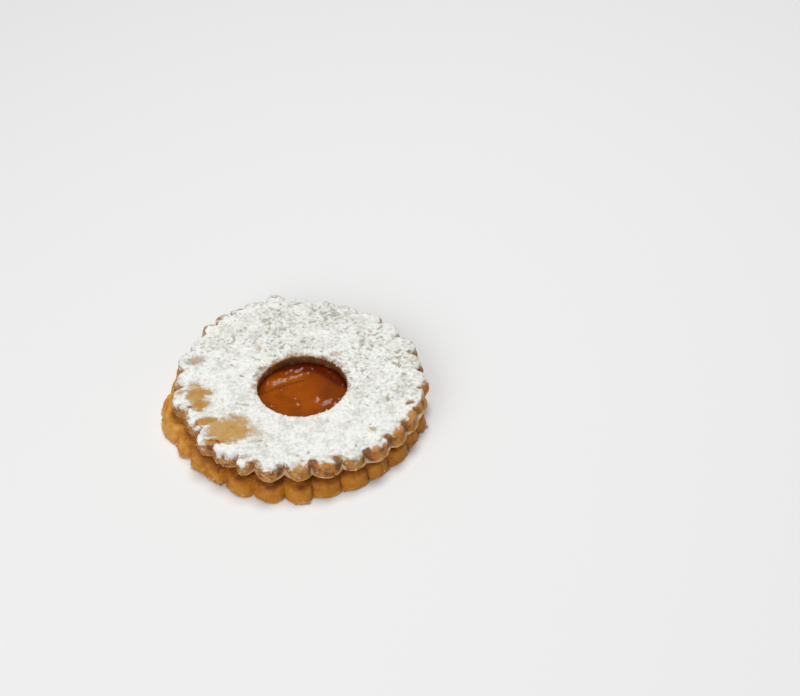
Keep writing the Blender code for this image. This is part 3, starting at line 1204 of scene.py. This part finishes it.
    def raised(
        self, shell: Shell, cover: np.ndarray, heaped: np.ndarray, pores: np.ndarray
    ) -> np.ndarray:
        """Move the bare points along their normals by the dough's relief and the sugar's depth.

        The dough has slow and fine lumps, and coarse ones at its foot. The sugar's depth is its
        cover times a fluffy noise, less at a pore and more on a heap. The crown then settles.

        Args:
            shell: The bare round.
            cover: How much sugar lies at each point.
            heaped: How far it is heaped.
            pores: How open its pores are.

        Returns:
            The finished points.
        """
        rings, height = shell.rings, shell.height
        normals = outward(rings, closed=True)
        upward = np.clip(normals[..., 2], 0.0, 1.0)
        foot = millistep(2.0, 0.5, height) * millistep(0.0, 0.3, height)
        dough = 0.10 * Lumps(3, 6.5, 2).at(rings) + 0.05 * Lumps(5, 1.5, 2).at(rings)
        dough = dough + foot * 0.25 * Lumps(7, 2.6, 2).at(rings)
        fluff = 0.62 + 0.36 * Lumps(9, 2.7, 2).at(rings) + 0.24 * Lumps(13, 1.2, 2).at(rings)
        powder = self.sugar_depth * smoothstep(0.25, 0.85, cover) * np.clip(fluff, 0.08, 1.05)
        powder = powder - 0.22 * MM * pores * upward + 0.32 * MM * heaped
        lift = np.where(height <= 0.0, 0.0, dough * MM + powder - self.sugar_depth * upward)
        points = rings + normals * lift[..., None]
        points[..., 2] -= millistep(4.9, 5.3, height) * self.crown_settling(rings)
        return inside_box(points, self.base, self.ceiling)

    def foot_cream(self, shell: Shell) -> np.ndarray:
        """The pale unbaked line at the foot, wider in the notches and broken by noise.

        Args:
            shell: The bare round.

        Returns:
            The cream, from 0 to 1.
        """
        height, hollow = shell.height, shell.columns.hollow()
        line = millistep(0.35, 0.0, height - (0.38 + 2.2 * hollow**2) * MM) * millistep(0.05, 0.3, height)
        strength = 0.45 + 0.45 * hollow + 0.9 * Lumps(71, 2.6, 2).at(shell.rings)
        shown = by_direction(self.foot_line, shell.columns.direction)[None, :]
        return np.where(self.in_window(shell), 0.0, np.clip(line * strength * shown, 0, 1))

    def toast(self, shell: Shell) -> np.ndarray:
        """How brown the bake is, with painted shade in the notches: most on the undersides, at the window and
        the pits.

        Args:
            shell: The bare round.

        Returns:
            The toast, from 0 to 1.
        """
        rings, height, direction = shell.rings, shell.height, shell.columns.direction
        near_rim = millistep(*self.rim_by_length, shell.along)
        # Painted shade: darker in the notches near the rim.
        notch_shade = shell.columns.hollow() ** 2 * millistep(*self.notch_shaded, height) * near_rim
        mottle = Lumps(81, 2.2, 3).at(rings) * (0.4 + 0.6 * near_rim)
        underside = millistep(*self.underside, height) * smoothstep(250, 225, direction % 360)[None, :]
        specks = near_rim * smoothstep(0.15, 0.6, Lumps(83, 0.9, 2).at(rings))
        specks = specks * millistep(*self.speckled_part, height)
        toast = 0.45 * notch_shade + 0.76 * mottle + 0.51 * near_rim - 0.05 + 0.2 * underside
        toast = toast + (0.12 + 0.45 * facing(direction, *self.left_front)) * specks
        toast = np.maximum(toast, millistep(*self.toast_by_window, self.window.beyond(rings)))
        # The window's wall is all dark, partly its bake and partly painted shade; near the lip at the left it
        # is painted paler, as lit.
        lit_lip = 0.3 * facing(direction, *self.left) * millistep(5.4, 5.0, height)
        toast = np.where(self.in_window(shell), 1.0 - lit_lip, toast)
        toast = np.maximum(toast, self.toasted_spot.share(rings, 0.5 * mottle))
        for pit in self.pits:
            sizes = {"across": self.pit_halo * pit.across, "along": self.pit_halo * pit.along}
            halo = replace(pit, strength=1.0, **sizes)
            toast = np.maximum(toast, halo.share(rings, 0.3 * mottle))
        return np.clip(toast, 0, 1)

    def wall_stain(self, shell: Shell) -> np.ndarray:
        """How far jam has stained the foot of the window's wall: painted less at the left, where light falls
        on it.

        Args:
            shell: The bare round.

        Returns:
            The stain, from 0 to 1.
        """
        # Painted light: less stain on the lit left wall.
        paler = 1 - 0.8 * facing(shell.columns.direction, *self.left)
        stain = 0.7 * millistep(*self.wall_foot_stain, shell.height) * paler
        return np.where(self.in_window(shell), stain, 0.0)

    def build(self, effects: Effects) -> Skin:
        """Raise the dough's and the sugar's relief on the bare rings, and dress the round.

        Args:
            effects: The shared node groups.

        Returns:
            The round's skin, for what lies on it.
        """
        shell = self.shell()
        cover, heaped = self.sugar_cover(shell)
        pores = self.pores(shell.rings) * smoothstep(0.2, 0.6, cover) * (1 - heaped)
        sugar = cover * (1 - 0.24 * pores)
        points = self.raised(shell, cover, heaped, pores)
        marks = {
            Mark.SUGAR: sugar, Mark.CREAM: self.foot_cream(shell), Mark.TOAST: self.toast(shell),
            Mark.PORE: pores, Mark.STAIN: self.wall_stain(shell),
        }
        faces = ring_faces(*points.shape[:2], closed=True)
        piece = make_piece("sugared_round", points.reshape(-1, 3), faces, marks)
        piece.data.materials.append(SugaredShortbread().dress(effects))
        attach(piece, "root")
        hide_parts(Node.UPPER.value)
        LOG.info("%s: %d faces", piece.name, len(faces))
        return Skin(points, outward(points, closed=True), sugar)


@dataclass(frozen=True)
class LowerRound:
    """The plain round: smooth bulging scallops on an uneven foot, with a flat base and top.

    Spans are heights in millimetres: where something starts and where it is complete. Knobbly and
    lit_flank are a direction, and how far from it the share has fallen to 0 and is still 1.
    """

    scalloping: Scalloping = Scalloping(
        reach=44.1 * MM,
        reach_waves=(Wave(3, 0.3 * MM, -54), Wave(4, 0.4 * MM, -3)),
        first_tip=270.7,
        crowding=(Wave(2, 1.8, 90),),
        seed=4,
        strays=(
            (1, -0.5), (2, -0.9), (3, 0.6), (7, -0.8), (8, -0.8), (20, 0.6), (21, -1.3), (22, 0.8), (23, 1.8),
            (28, 0.9),
        ),
        notches=(
            (0, -0.9, -0.6), (1, 0.5, -0.4), (2, 1.4, -0.2), (3, 1.8, 0.0), (4, 2.1, 0.5), (5, 5.1, 0.9),
            (6, 4.0, 0.5), (7, 2.0, 0.0), (22, 0.0, -2.0), (23, -2.8, 3.0), (24, 2.4, 0.1), (25, 1.2, -0.8),
            (26, 0.0, 1.2), (27, -2.6, -0.8), (28, -1.1, 0.1),
        ),
        rounding=0.5,
        lean_to_next=0.3,
    )
    centre: tuple[float, float] = (0.5138 * MM, -0.1816 * MM)
    top: float = 6.4 * MM
    side: Side = Side((
        (0.0, 0.9, 1.8), (0.4, 0.0, 2.0), (1.1, 0.2, 2.2), (2.6, 0.5, 2.5), (4.4, 0.9, 2.7),
        (5.8, 2.0, 2.8), (6.4, 4.0, 1.6),
    ))
    steps: int = 20
    side_rings: int = 52
    flat_rings: int = 16
    innermost: float = 0.08
    clear_of_base: Span = (0.0, 0.5)
    foot_part: Span = (1.7, 0.5)
    # Heights of the painted shade at the top of the side, under the upper round.
    shaded_part: Span = (3.6, 6.2)
    # Heights of the painted highlights on the knobs.
    bright_part: Span = (5.0, 3.4)
    knobbly: tuple[float, float, float] = (205, 60, 20)
    # Painted light: the left flank is painted lighter and golden, as if lit.
    lit_flank: tuple[float, float, float] = (190, 46, 4)
    base_toast: float = 0.4

    def bare_rings(self, columns: Columns) -> np.ndarray:
        """Lay the rings from the base's middle out, up the side and in to the top's middle.

        Args:
            columns: The round's columns.

        Returns:
            The rings before their relief.
        """
        height, inset, notch, _ = self.side.sampled(self.side_rings)
        radius = columns.rim[None, :] - inset - notch * columns.hollow()
        side = around(self.centre, columns.direction[None, :], radius, height)
        base_middle = np.array([*self.centre, 0.0])
        top_middle = np.array([*self.centre, self.top])
        shares = np.linspace(self.innermost, 1, self.flat_rings + 1)[:-1]
        below = base_middle + (side[0] - base_middle) * shares[:, None, None]
        above = top_middle + (side[-1] - top_middle) * shares[::-1, None, None]
        return np.concatenate([below, side, above])

    def colour_marks(self, rings: np.ndarray, columns: Columns) -> dict[Mark, np.ndarray]:
        """Where the bake is toasted and cream, and where shade and light are painted on it.

        It is darker in the notches and in random patches, darker towards the top as painted shade under the
        upper round, cream in patches at the foot, and lighter on the left flank as painted light, with
        painted highlights on the knobs at the left front. The base is evenly baked.

        Args:
            rings: The bare rings.
            columns: Their columns.

        Returns:
            The marks' values.
        """
        z = rings[..., 2]
        # Painted light on the left flank: less dark and brighter.
        flank = facing(columns.direction, *self.lit_flank)
        toast = 0.30 * columns.hollow() ** 1.5 + 0.36 * Lumps(111, 4.0, 2).at(rings) + 0.06
        toast = toast + 0.22 * Lumps(119, 1.3, 2).at(rings)
        # Painted shade: darker towards the top, under the upper round's overhang; the left flank is painted
        # less dark, as lit.
        toast = (toast + 0.75 * millistep(*self.shaded_part, z)) * (1 - 0.5 * flank)
        cream = 0.55 * millistep(*self.foot_part, z) * smoothstep(0.1, 0.7, Lumps(113, 3.0, 2).at(rings))
        # Painted highlights on the knobs at the left front, lower down the side.
        knobs = 0.25 * facing(columns.direction, *self.knobbly)
        knobs = knobs * smoothstep(0.15, 0.7, Lumps(117, 2.0).at(rings))
        bright = flank * (0.30 + 0.3 * Lumps(115, 2.8, 2).at(rings))
        bright = bright + knobs * millistep(*self.bright_part, z)
        lying = np.arange(len(rings))[:, None] < self.flat_rings
        values = {
            Mark.TOAST: np.where(lying, self.base_toast, toast), Mark.CREAM: np.where(lying, 0.0, cream),
            Mark.TONE: np.where(lying, 0.0, bright),
        }
        return {mark: np.clip(value, 0, 1) for mark, value in values.items()}

    def build(self, effects: Effects) -> Skin:
        """Raise the bake's relief on the bare rings, and dress the round.

        The relief is slow and fine lumps everywhere, coarser ones at the foot, and knobs on the
        left front. It fades to nothing at the base, which stays flat.

        Args:
            effects: The shared node groups.

        Returns:
            The round's skin, for what lies on it.
        """
        columns = self.scalloping.columns(self.steps)
        rings = self.bare_rings(columns)
        z = rings[..., 2]
        lift = 0.16 * Lumps(103, 5.5, 2).at(rings) + 0.05 * Lumps(105, 1.6, 2).at(rings)
        lift = lift + millistep(*self.foot_part, z) * 0.3 * Lumps(107, 2.4, 2).at(rings)
        lift = lift + facing(columns.direction, *self.knobbly) * 0.45 * Lumps(109, 2.4, 2).at(rings) - 0.12
        lift = lift * millistep(*self.clear_of_base, z) * MM
        points = inside_box(rings + outward(rings, closed=False) * lift[..., None], 0.0, self.top)
        piece = capped(points, self.colour_marks(rings, columns), "plain_round")
        piece.data.materials.append(Shortbread().dress(effects))
        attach(piece, "root")
        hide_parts(Node.LOWER.value)
        LOG.info("%s: %d faces", piece.name, len(piece.data.polygons))
        return Skin(points, outward(points, closed=False), np.zeros(points.shape[:2]))


@dataclass(frozen=True)
class Ridge:
    """A soft ridge on the jam along y = at + slope * x + bend * x^2, in millimetres."""

    at: float
    slope: float
    bend: float
    start: float
    stop: float
    left_width: float
    right_width: float
    steepness: float = 0.38
    sharpness: float = 6.0

    def rise(self, x: np.ndarray, y: np.ndarray, shift: np.ndarray) -> np.ndarray:
        """The height of a tent across the ridge, softened at its crest and its foot, faded at both ends.

        Args:
            x: Places in millimetres.
            y: Places in millimetres.
            shift: How far the ridge wanders at each place.

        Returns:
            The height in millimetres.
        """
        width = self.right_width + (self.left_width - self.right_width) * smoothstep(0.0, -5.5, x)
        across = (y - self.at - self.slope * x - self.bend * x**2 + shift) / width
        ends = smoothstep(self.start - 1.5, self.start + 1.0, x)
        ends = ends * smoothstep(self.stop + 1.2, self.stop - 0.8, x)
        tent = np.logaddexp(0.0, self.sharpness * (1.0 - np.sqrt(across**2 + 0.04))) / self.sharpness
        return self.steepness * width * tent * ends


@dataclass(frozen=True)
class JamFilling:
    """The jam: a layer between the rounds that rises into the window as a glossy dome."""

    window: Window = Window()
    bottom: float = 6.3 * MM
    layer_top: float = 8.56 * MM
    surface: float = 10.0 * MM
    ceiling: float = 13.0 * MM
    dome: float = 0.5
    reach: float = 38.6 * MM
    middle: tuple[float, float] = (1.2138 * MM, -0.3816 * MM)
    waves: tuple[Wave, ...] = (Wave(2, 0.5 * MM, 200), Wave(5, 0.4 * MM, 30), Wave(9, 0.3 * MM, 75))
    ooze: float = 0.45 * MM
    edge_roll: float = 0.7 * MM
    into_wall: float = 0.25 * MM
    core: float = 0.3
    columns: int = 360
    edge_rings: int = 13
    layer_rings: int = 9
    surface_rings: int = 110
    innermost: float = 0.02
    ridges: tuple[Ridge, ...] = (
        Ridge(7.75, 0.29, -0.006, -5.5, 5.6, 1.7, 1.5),
        Ridge(4.6, 0.37, 0.008, -9.8, 5.2, 2.3, 1.3),
    )
    bumps: tuple[tuple[float, float, float, float], ...] = (
        (-4.3, -2.2, 0.7, 0.25), (0.6, -6.5, 0.6, 0.24), (1.3, -8.9, 0.9, 0.38), (-7.3, -9.6, 0.6, 0.24),
        (7.9, -6.4, 1.8, 0.74), (10.0, -8.6, 1.1, 0.42), (11.4, -7.6, 1.2, 0.46),
        (12.8, -6.6, 1.1, 0.44), (14.0, -8.6, 1.0, 0.40), (15.2, -6.6, 0.9, 0.38),
        (16.4, 0.5, 0.7, 0.28), (5.9, 8.2, 0.9, 0.36),
    )

    @staticmethod
    def behind_fold(x: np.ndarray, y: np.ndarray) -> np.ndarray:
        """How far a place lies behind the fold's line, in millimetres."""
        return y - 1.05 - 0.46 * x + 0.25 * np.sin(0.55 * x + 0.6)

    @staticmethod
    def fold_share(x: np.ndarray) -> np.ndarray:
        """How clear the fold is: it fades at both ends."""
        return smoothstep(-13.0, -10.5, x) * smoothstep(7.0, 1.0, x)

    def surface_height(self, points: np.ndarray, share: np.ndarray) -> np.ndarray:
        """The jam's height in the window.

        A dome that falls with the square of the share of the way out, a meniscus that climbs the
        wall, a fold whose front side stands higher along a slanting line, the soft ridges behind
        it, and round bumps, as places, sizes and heights in millimetres, that fall off as a bell.

        Args:
            points: Places in the window.
            share: The share of the way out to the wall.

        Returns:
            A height for each place.
        """
        x, y = points[..., 0] / MM, points[..., 1] / MM
        climb = 0.30 * smoothstep(0.94, 1.0, share) * smoothstep(4.0, -6.0, y)
        rise = self.dome * (1 - share**2) + climb + 0.12 * Lumps(203, 7.0, 2).at(points)
        reach = smoothstep(0.99, 0.86, share)
        rise = rise - 0.30 * smoothstep(-0.4, 1.6, self.behind_fold(x, y)) * self.fold_share(x) * reach
        wander = 0.30 * np.sin(x * 1.7 + 0.5) + 0.2 * Lumps(205, 2.2, 2).at(points)
        for ridge in self.ridges:
            rise = rise + ridge.rise(x, y, wander) * reach
        for bump_x, bump_y, size, tall in self.bumps:
            far = np.hypot(x - bump_x, y - bump_y) / size
            rise = rise + tall * np.exp(-(far**2)) * reach
        return self.surface + rise * MM

    def colour_marks(self, window: np.ndarray, shares: np.ndarray, before: int) -> dict[Mark, np.ndarray]:
        """Where painted shade darkens the jam and where it looks olive.

        Painted shade lies near the wall, to the right, at the back, in the fold's crease and along the left
        wall, and the jam is olive in a band behind the fold.

        Args:
            window: The rings in the window.
            shares: Each ring's share of the way out.
            before: How many rings come before them, which have no marks.

        Returns:
            The marks' values.
        """
        x, y = window[..., 0] / MM, window[..., 1] / MM
        out = shares[:, None]
        fold = self.behind_fold(x, y)
        near_wall = smoothstep(0.88, 1.0, out)
        to_right = smoothstep(0.0, 14.0, x + 0.45 * y)
        to_back = smoothstep(0.54, 0.88, out) * smoothstep(1.0, 7.0, y + 0.25 * x)
        to_left = smoothstep(0.78, 0.90, out) * smoothstep(-4.0, -11.0, x) * smoothstep(-7.0, -2.0, y)
        crease = np.exp(-((fold / 0.5) ** 2)) * self.fold_share(x)
        # Painted shade: darker near the wall, to the right, at the back, along the left wall and in the
        # fold's crease.
        shaded_red = 0.6 * near_wall + 0.55 * to_right + 0.95 * to_back + 0.55 * to_left + 0.5 * crease
        olive = smoothstep(0.2, 1.0, fold) * smoothstep(3.4, 2.0, fold) * self.fold_share(x)
        unmarked = np.zeros((before, window.shape[1]))
        # The toast mark carries the jam's painted shade.
        return {
            Mark.TOAST: np.concatenate([unmarked, np.clip(shaded_red, 0, 1)]),
            Mark.TONE: np.concatenate([unmarked, olive]),
        }

    def build(self, effects: Effects) -> None:
        """Lay the rings from the layer's middle to its edge, in to the window and over the dome.

        Args:
            effects: The shared node groups.
        """
        direction = np.linspace(0, 360, self.columns, endpoint=False)
        plug = self.window.radius_at(direction) + self.into_wall
        reach = self.reach + sum(wave.at(direction) for wave in self.waves)
        ooze = self.ooze * Lumps(211, 5.0, 2).at(around(self.middle, direction, reach, self.bottom))
        turn = np.linspace(-np.pi / 2, np.pi / 2, self.edge_rings)[:, None]
        half = (self.layer_top - self.bottom) / 2
        radius = (reach + ooze)[None, :] - self.edge_roll + self.edge_roll * np.cos(turn)
        edge = around(self.middle, direction[None, :], radius, self.bottom + half + half * np.sin(turn))
        core = around(self.window.centre, direction, self.core * plug, self.bottom)
        below = blended(core, edge[0], np.linspace(0, 1, self.layer_rings)[:-1])
        neck = around(self.window.centre, direction, plug, self.layer_top)
        above = blended(edge[-1], neck, np.linspace(0, 1, self.layer_rings)[1:])
        shares = np.linspace(1.0, self.innermost, self.surface_rings)
        radius = plug[None, :] * shares[:, None]
        window = around(self.window.centre, direction[None, :], radius, self.surface)
        window[..., 2] = self.surface_height(window, np.broadcast_to(shares[:, None], radius.shape))
        rings = inside_box(np.concatenate([below, edge, above, window]), self.bottom, self.ceiling)
        marks = self.colour_marks(window, shares, len(rings) - self.surface_rings)
        piece = capped(rings, marks, "jam_filling")
        piece.data.materials.append(ApricotJam().dress(effects))
        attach(piece, "root")
        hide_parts(Node.JAM.value)
        LOG.info("%s: %d faces", piece.name, len(piece.data.polygons))


def unit_icosahedron() -> tuple[np.ndarray, np.ndarray]:
    """The twelve corners of a ball with twenty sides, and the corners of each side.

    Three golden rectangles, one across each axis, give the corners. Three corners that are all
    nearest neighbours make a side, which is turned so that it faces outwards.

    Returns:
        The corners' places and the sides' corner numbers.
    """
    golden = (1 + 5**0.5) / 2
    flat = np.array([(-1, golden), (1, golden), (-1, -golden), (1, -golden)])
    in_turn = ((flat, 2), (flat, 0), (flat[:, ::-1], 1))
    corners = np.concatenate([np.insert(pairs, where, 0, axis=1) for pairs, where in in_turn])
    corners = corners / np.linalg.norm(corners[0])
    distance = np.linalg.norm(corners[:, None] - corners[None], axis=-1)
    close = np.isclose(distance, distance[distance > TINY].min(), rtol=1e-3)
    first, second, third = np.nonzero(close[:, :, None] & close[None] & close[:, None])
    once = (first < second) & (second < third)
    sides = np.stack([first, second, third], axis=1)[once]
    turn = np.einsum("ij,ij->i", np.cross(corners[sides[:, 0]], corners[sides[:, 1]]), corners[sides[:, 2]])
    sides[turn < 0] = sides[turn < 0][:, ::-1]
    return corners, sides


@dataclass(frozen=True)
class Scatter:
    """Many small lumps that sit on a skin, joined into one mesh."""

    name: str
    slot: Slot
    seed: int
    count: int
    smallest: float
    largest: float
    sunk: float
    rough: float
    ceiling: float
    favour_small: float = 2.5
    squash: tuple[float, float] = (0.6, 1.15)

    def build(self, skin: Skin, chance: np.ndarray, material: bpy.types.Material) -> None:
        """Place the lumps where the chance is high and make them one piece.

        Each lump is a ball of twenty sides whose corners are drawn in or out, turned at random
        and squashed. Its middle stands on a point of the skin, moved along the normal.

        Args:
            skin: The surface that the lumps sit on.
            chance: How likely each of its points is to carry one.
            material: The lumps' finish.
        """
        draw = np.random.default_rng(self.seed)
        corners, sides = unit_icosahedron()
        likely = chance.ravel() / chance.sum()
        where = draw.choice(likely.size, self.count, p=likely)
        spread = self.largest - self.smallest
        size = (self.smallest + spread * draw.uniform(0, 1, self.count) ** self.favour_small)[:, None]
        shape = 1 + self.rough * draw.uniform(-1, 1, (self.count, len(corners), 1))
        squash = draw.uniform(*self.squash, (self.count, 1, 3))
        turn = np.linalg.qr(draw.normal(size=(self.count, 3, 3)))[0]
        lumps = np.einsum("cij,ckj->cki", turn, corners[None] * shape * squash) * size[:, None]
        up = skin.normals.reshape(-1, 3)[where]
        middle = skin.points.reshape(-1, 3)[where] + up * (size * (1 - 2 * self.sunk))
        points = inside_box((lumps + middle[:, None]).reshape(-1, 3), 0.0, self.ceiling)
        mirrored = np.linalg.det(turn) < 0
        each = np.where(mirrored[:, None, None], sides[None, :, ::-1], sides[None])
        faces = (each + (np.arange(self.count) * len(corners))[:, None, None]).reshape(-1, 3)
        tone = np.repeat(draw.uniform(0, 1, self.count), len(corners))
        piece = make_piece(self.name, points, faces.tolist(), {Mark.TONE: tone})
        piece.data.materials.append(material)
        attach(piece, "root")
        LOG.info("%s: %d lumps, %d faces", piece.name, self.count, len(faces))


@dataclass(frozen=True)
class SoftLight:
    """A round soft light that faces the biscuit."""

    name: str
    place: tuple[float, float, float]
    size: float
    power: float

    def hang(self) -> None:
        """Hang the light at its place."""
        data = bpy.data.lights.new(self.name, "AREA")
        data.shape = "DISK"
        data.size = self.size
        data.energy = self.power
        light = bpy.data.objects.new(self.name, data)
        light.location = self.place
        light.rotation_euler = (-Vector(self.place)).to_track_quat("-Z", "Y").to_euler()
        bpy.context.scene.collection.objects.link(light)


@dataclass(frozen=True)
class Studio:
    """The camera, the pale floor and the soft light."""

    camera_place: tuple[float, float, float] = (0.0357, -0.41496, 0.4022)
    pitch: float = 42.17
    roll: float = -0.8
    lens: float = 76.5
    nearest: float = 0.01
    floor_half: float = 4.0
    floor_height: float = -0.02 * MM
    floor_colour: Colour = (0.86, 0.86, 0.85, 1)
    world: Colour = (0.93, 0.96, 1.0, 1)
    world_strength: float = 0.16
    lights: tuple[SoftLight, ...] = (
        SoftLight("key", (0.12, 0.23, 1.06), 0.55, 7.9),
        SoftLight("fill", (-0.45, -0.80, 0.72), 0.9, 5.9),
    )

    def set_camera(self) -> None:
        """Stand the camera at its place, turned down by the pitch and about its view by the roll."""
        pitch, roll = np.radians(self.pitch), np.radians(self.roll)
        right = np.array([1.0, 0.0, 0.0])
        up = np.array([0.0, np.sin(pitch), np.cos(pitch)])
        back = np.array([0.0, -np.cos(pitch), np.sin(pitch)])
        x_axis = np.cos(roll) * right + np.sin(roll) * up
        y_axis = -np.sin(roll) * right + np.cos(roll) * up
        matrix = np.identity(4)
        matrix[:3] = np.stack([x_axis, y_axis, back, np.array(self.camera_place)], axis=1)
        camera = bpy.data.objects.new("camera", bpy.data.cameras.new("camera"))
        camera.data.lens = self.lens
        camera.data.clip_start = self.nearest
        camera.matrix_world = Matrix(matrix.tolist())
        bpy.context.scene.collection.objects.link(camera)
        bpy.context.scene.camera = camera

    def add_floor(self) -> None:
        """Lay the pale floor under the biscuit."""
        signs = np.array([(-1, -1), (1, -1), (1, 1), (-1, 1)])
        corners = np.insert(signs * self.floor_half, 2, self.floor_height, axis=1)
        floor = make_piece("floor", corners, [[0, 1, 2, 3]], {})
        material, _, _ = Finish("pale_floor").begin({"Base Color": self.floor_colour, "Roughness": 0.8})
        floor.data.materials.append(material)

    def build(self) -> None:
        """Set the colour handling, the camera, the floor and the lights."""
        scene = bpy.context.scene
        scene.view_settings.view_transform = "Standard"
        self.set_camera()
        self.add_floor()
        for light in self.lights:
            light.hang()
        world = bpy.data.worlds.new("studio")
        world.use_nodes = True
        background = world.node_tree.nodes["Background"]
        background.inputs["Color"].default_value = self.world
        background.inputs["Strength"].default_value = self.world_strength
        scene.world = world


def joined(skins: tuple[Skin, ...]) -> Skin:
    """Several skins as one, with their points in one row.

    Args:
        skins: The skins, in order.

    Returns:
        One skin.
    """
    points = np.concatenate([skin.points.reshape(-1, 3) for skin in skins])
    normals = np.concatenate([skin.normals.reshape(-1, 3) for skin in skins])
    return Skin(points, normals, np.concatenate([skin.sugar.ravel() for skin in skins]))


def powder_chance(skin: Skin) -> np.ndarray:
    """How likely a point carries a clump of sugar: where it faces up and sugar lies thick."""
    chance = np.where(skin.sugar > 0.55, 1.0, np.where(skin.sugar > 0.25, 0.25, 0.0))
    return np.where(skin.normals[..., 2] > 0.35, chance, 0.0)


def crumb_chance(skin: Skin) -> np.ndarray:
    """How likely a point carries a crumb.

    Crumbs lie at the lower round's foot, most in front, and under the upper round's scallops at
    the left front, by how far a point faces that way.

    Args:
        skin: Both rounds' skin.

    Returns:
        The chance for each point.
    """
    height = skin.points[:, 2]
    outside = np.hypot(skin.points[:, 0], skin.points[:, 1]) > 37 * MM
    front = np.clip(0.25 - skin.normals[:, 1], 0.05, 1)
    left_front = np.clip(0.3 - skin.normals[:, 0], 0, 1) * np.clip(0.1 - skin.normals[:, 1], 0, 1)
    at_foot = outside & (height > 0.25 * MM) & (height < 1.4 * MM)
    at_rim = outside & (height > 8.7 * MM) & (height < 12.4 * MM)
    return np.where(at_foot, front, 0.0) + np.where(at_rim, 2.2 * left_front, 0.0)


def main() -> None:
    """Build the studio, the rounds, the jam and what lies loose on them."""
    logging.basicConfig(level=logging.INFO, format="%(message)s")
    Studio().build()
    effects = Effects()
    upper = UpperRound().build(effects)
    lower = LowerRound().build(effects)
    JamFilling().build(effects)
    clumps = Scatter(
        "sugar_clumps", Slot.SUGARED, seed=401, count=2600, smallest=0.10 * MM, largest=0.34 * MM,
        sunk=0.35, rough=0.25, ceiling=14.0 * MM,
    )
    clumps.build(upper, powder_chance(upper), PowderedSugar().dress(effects))
    crumbs = Scatter(
        "loose_crumbs", Slot.SHORTBREAD, seed=403, count=340, smallest=0.16 * MM, largest=0.62 * MM,
        sunk=0.48, rough=0.42, ceiling=13.0 * MM,
    )
    both = joined((lower, upper))
    crumbs.build(both, crumb_chance(both), LooseCrumb().dress(effects))
    bpy.context.view_layer.update()


if __name__ == "__main__":
    main()
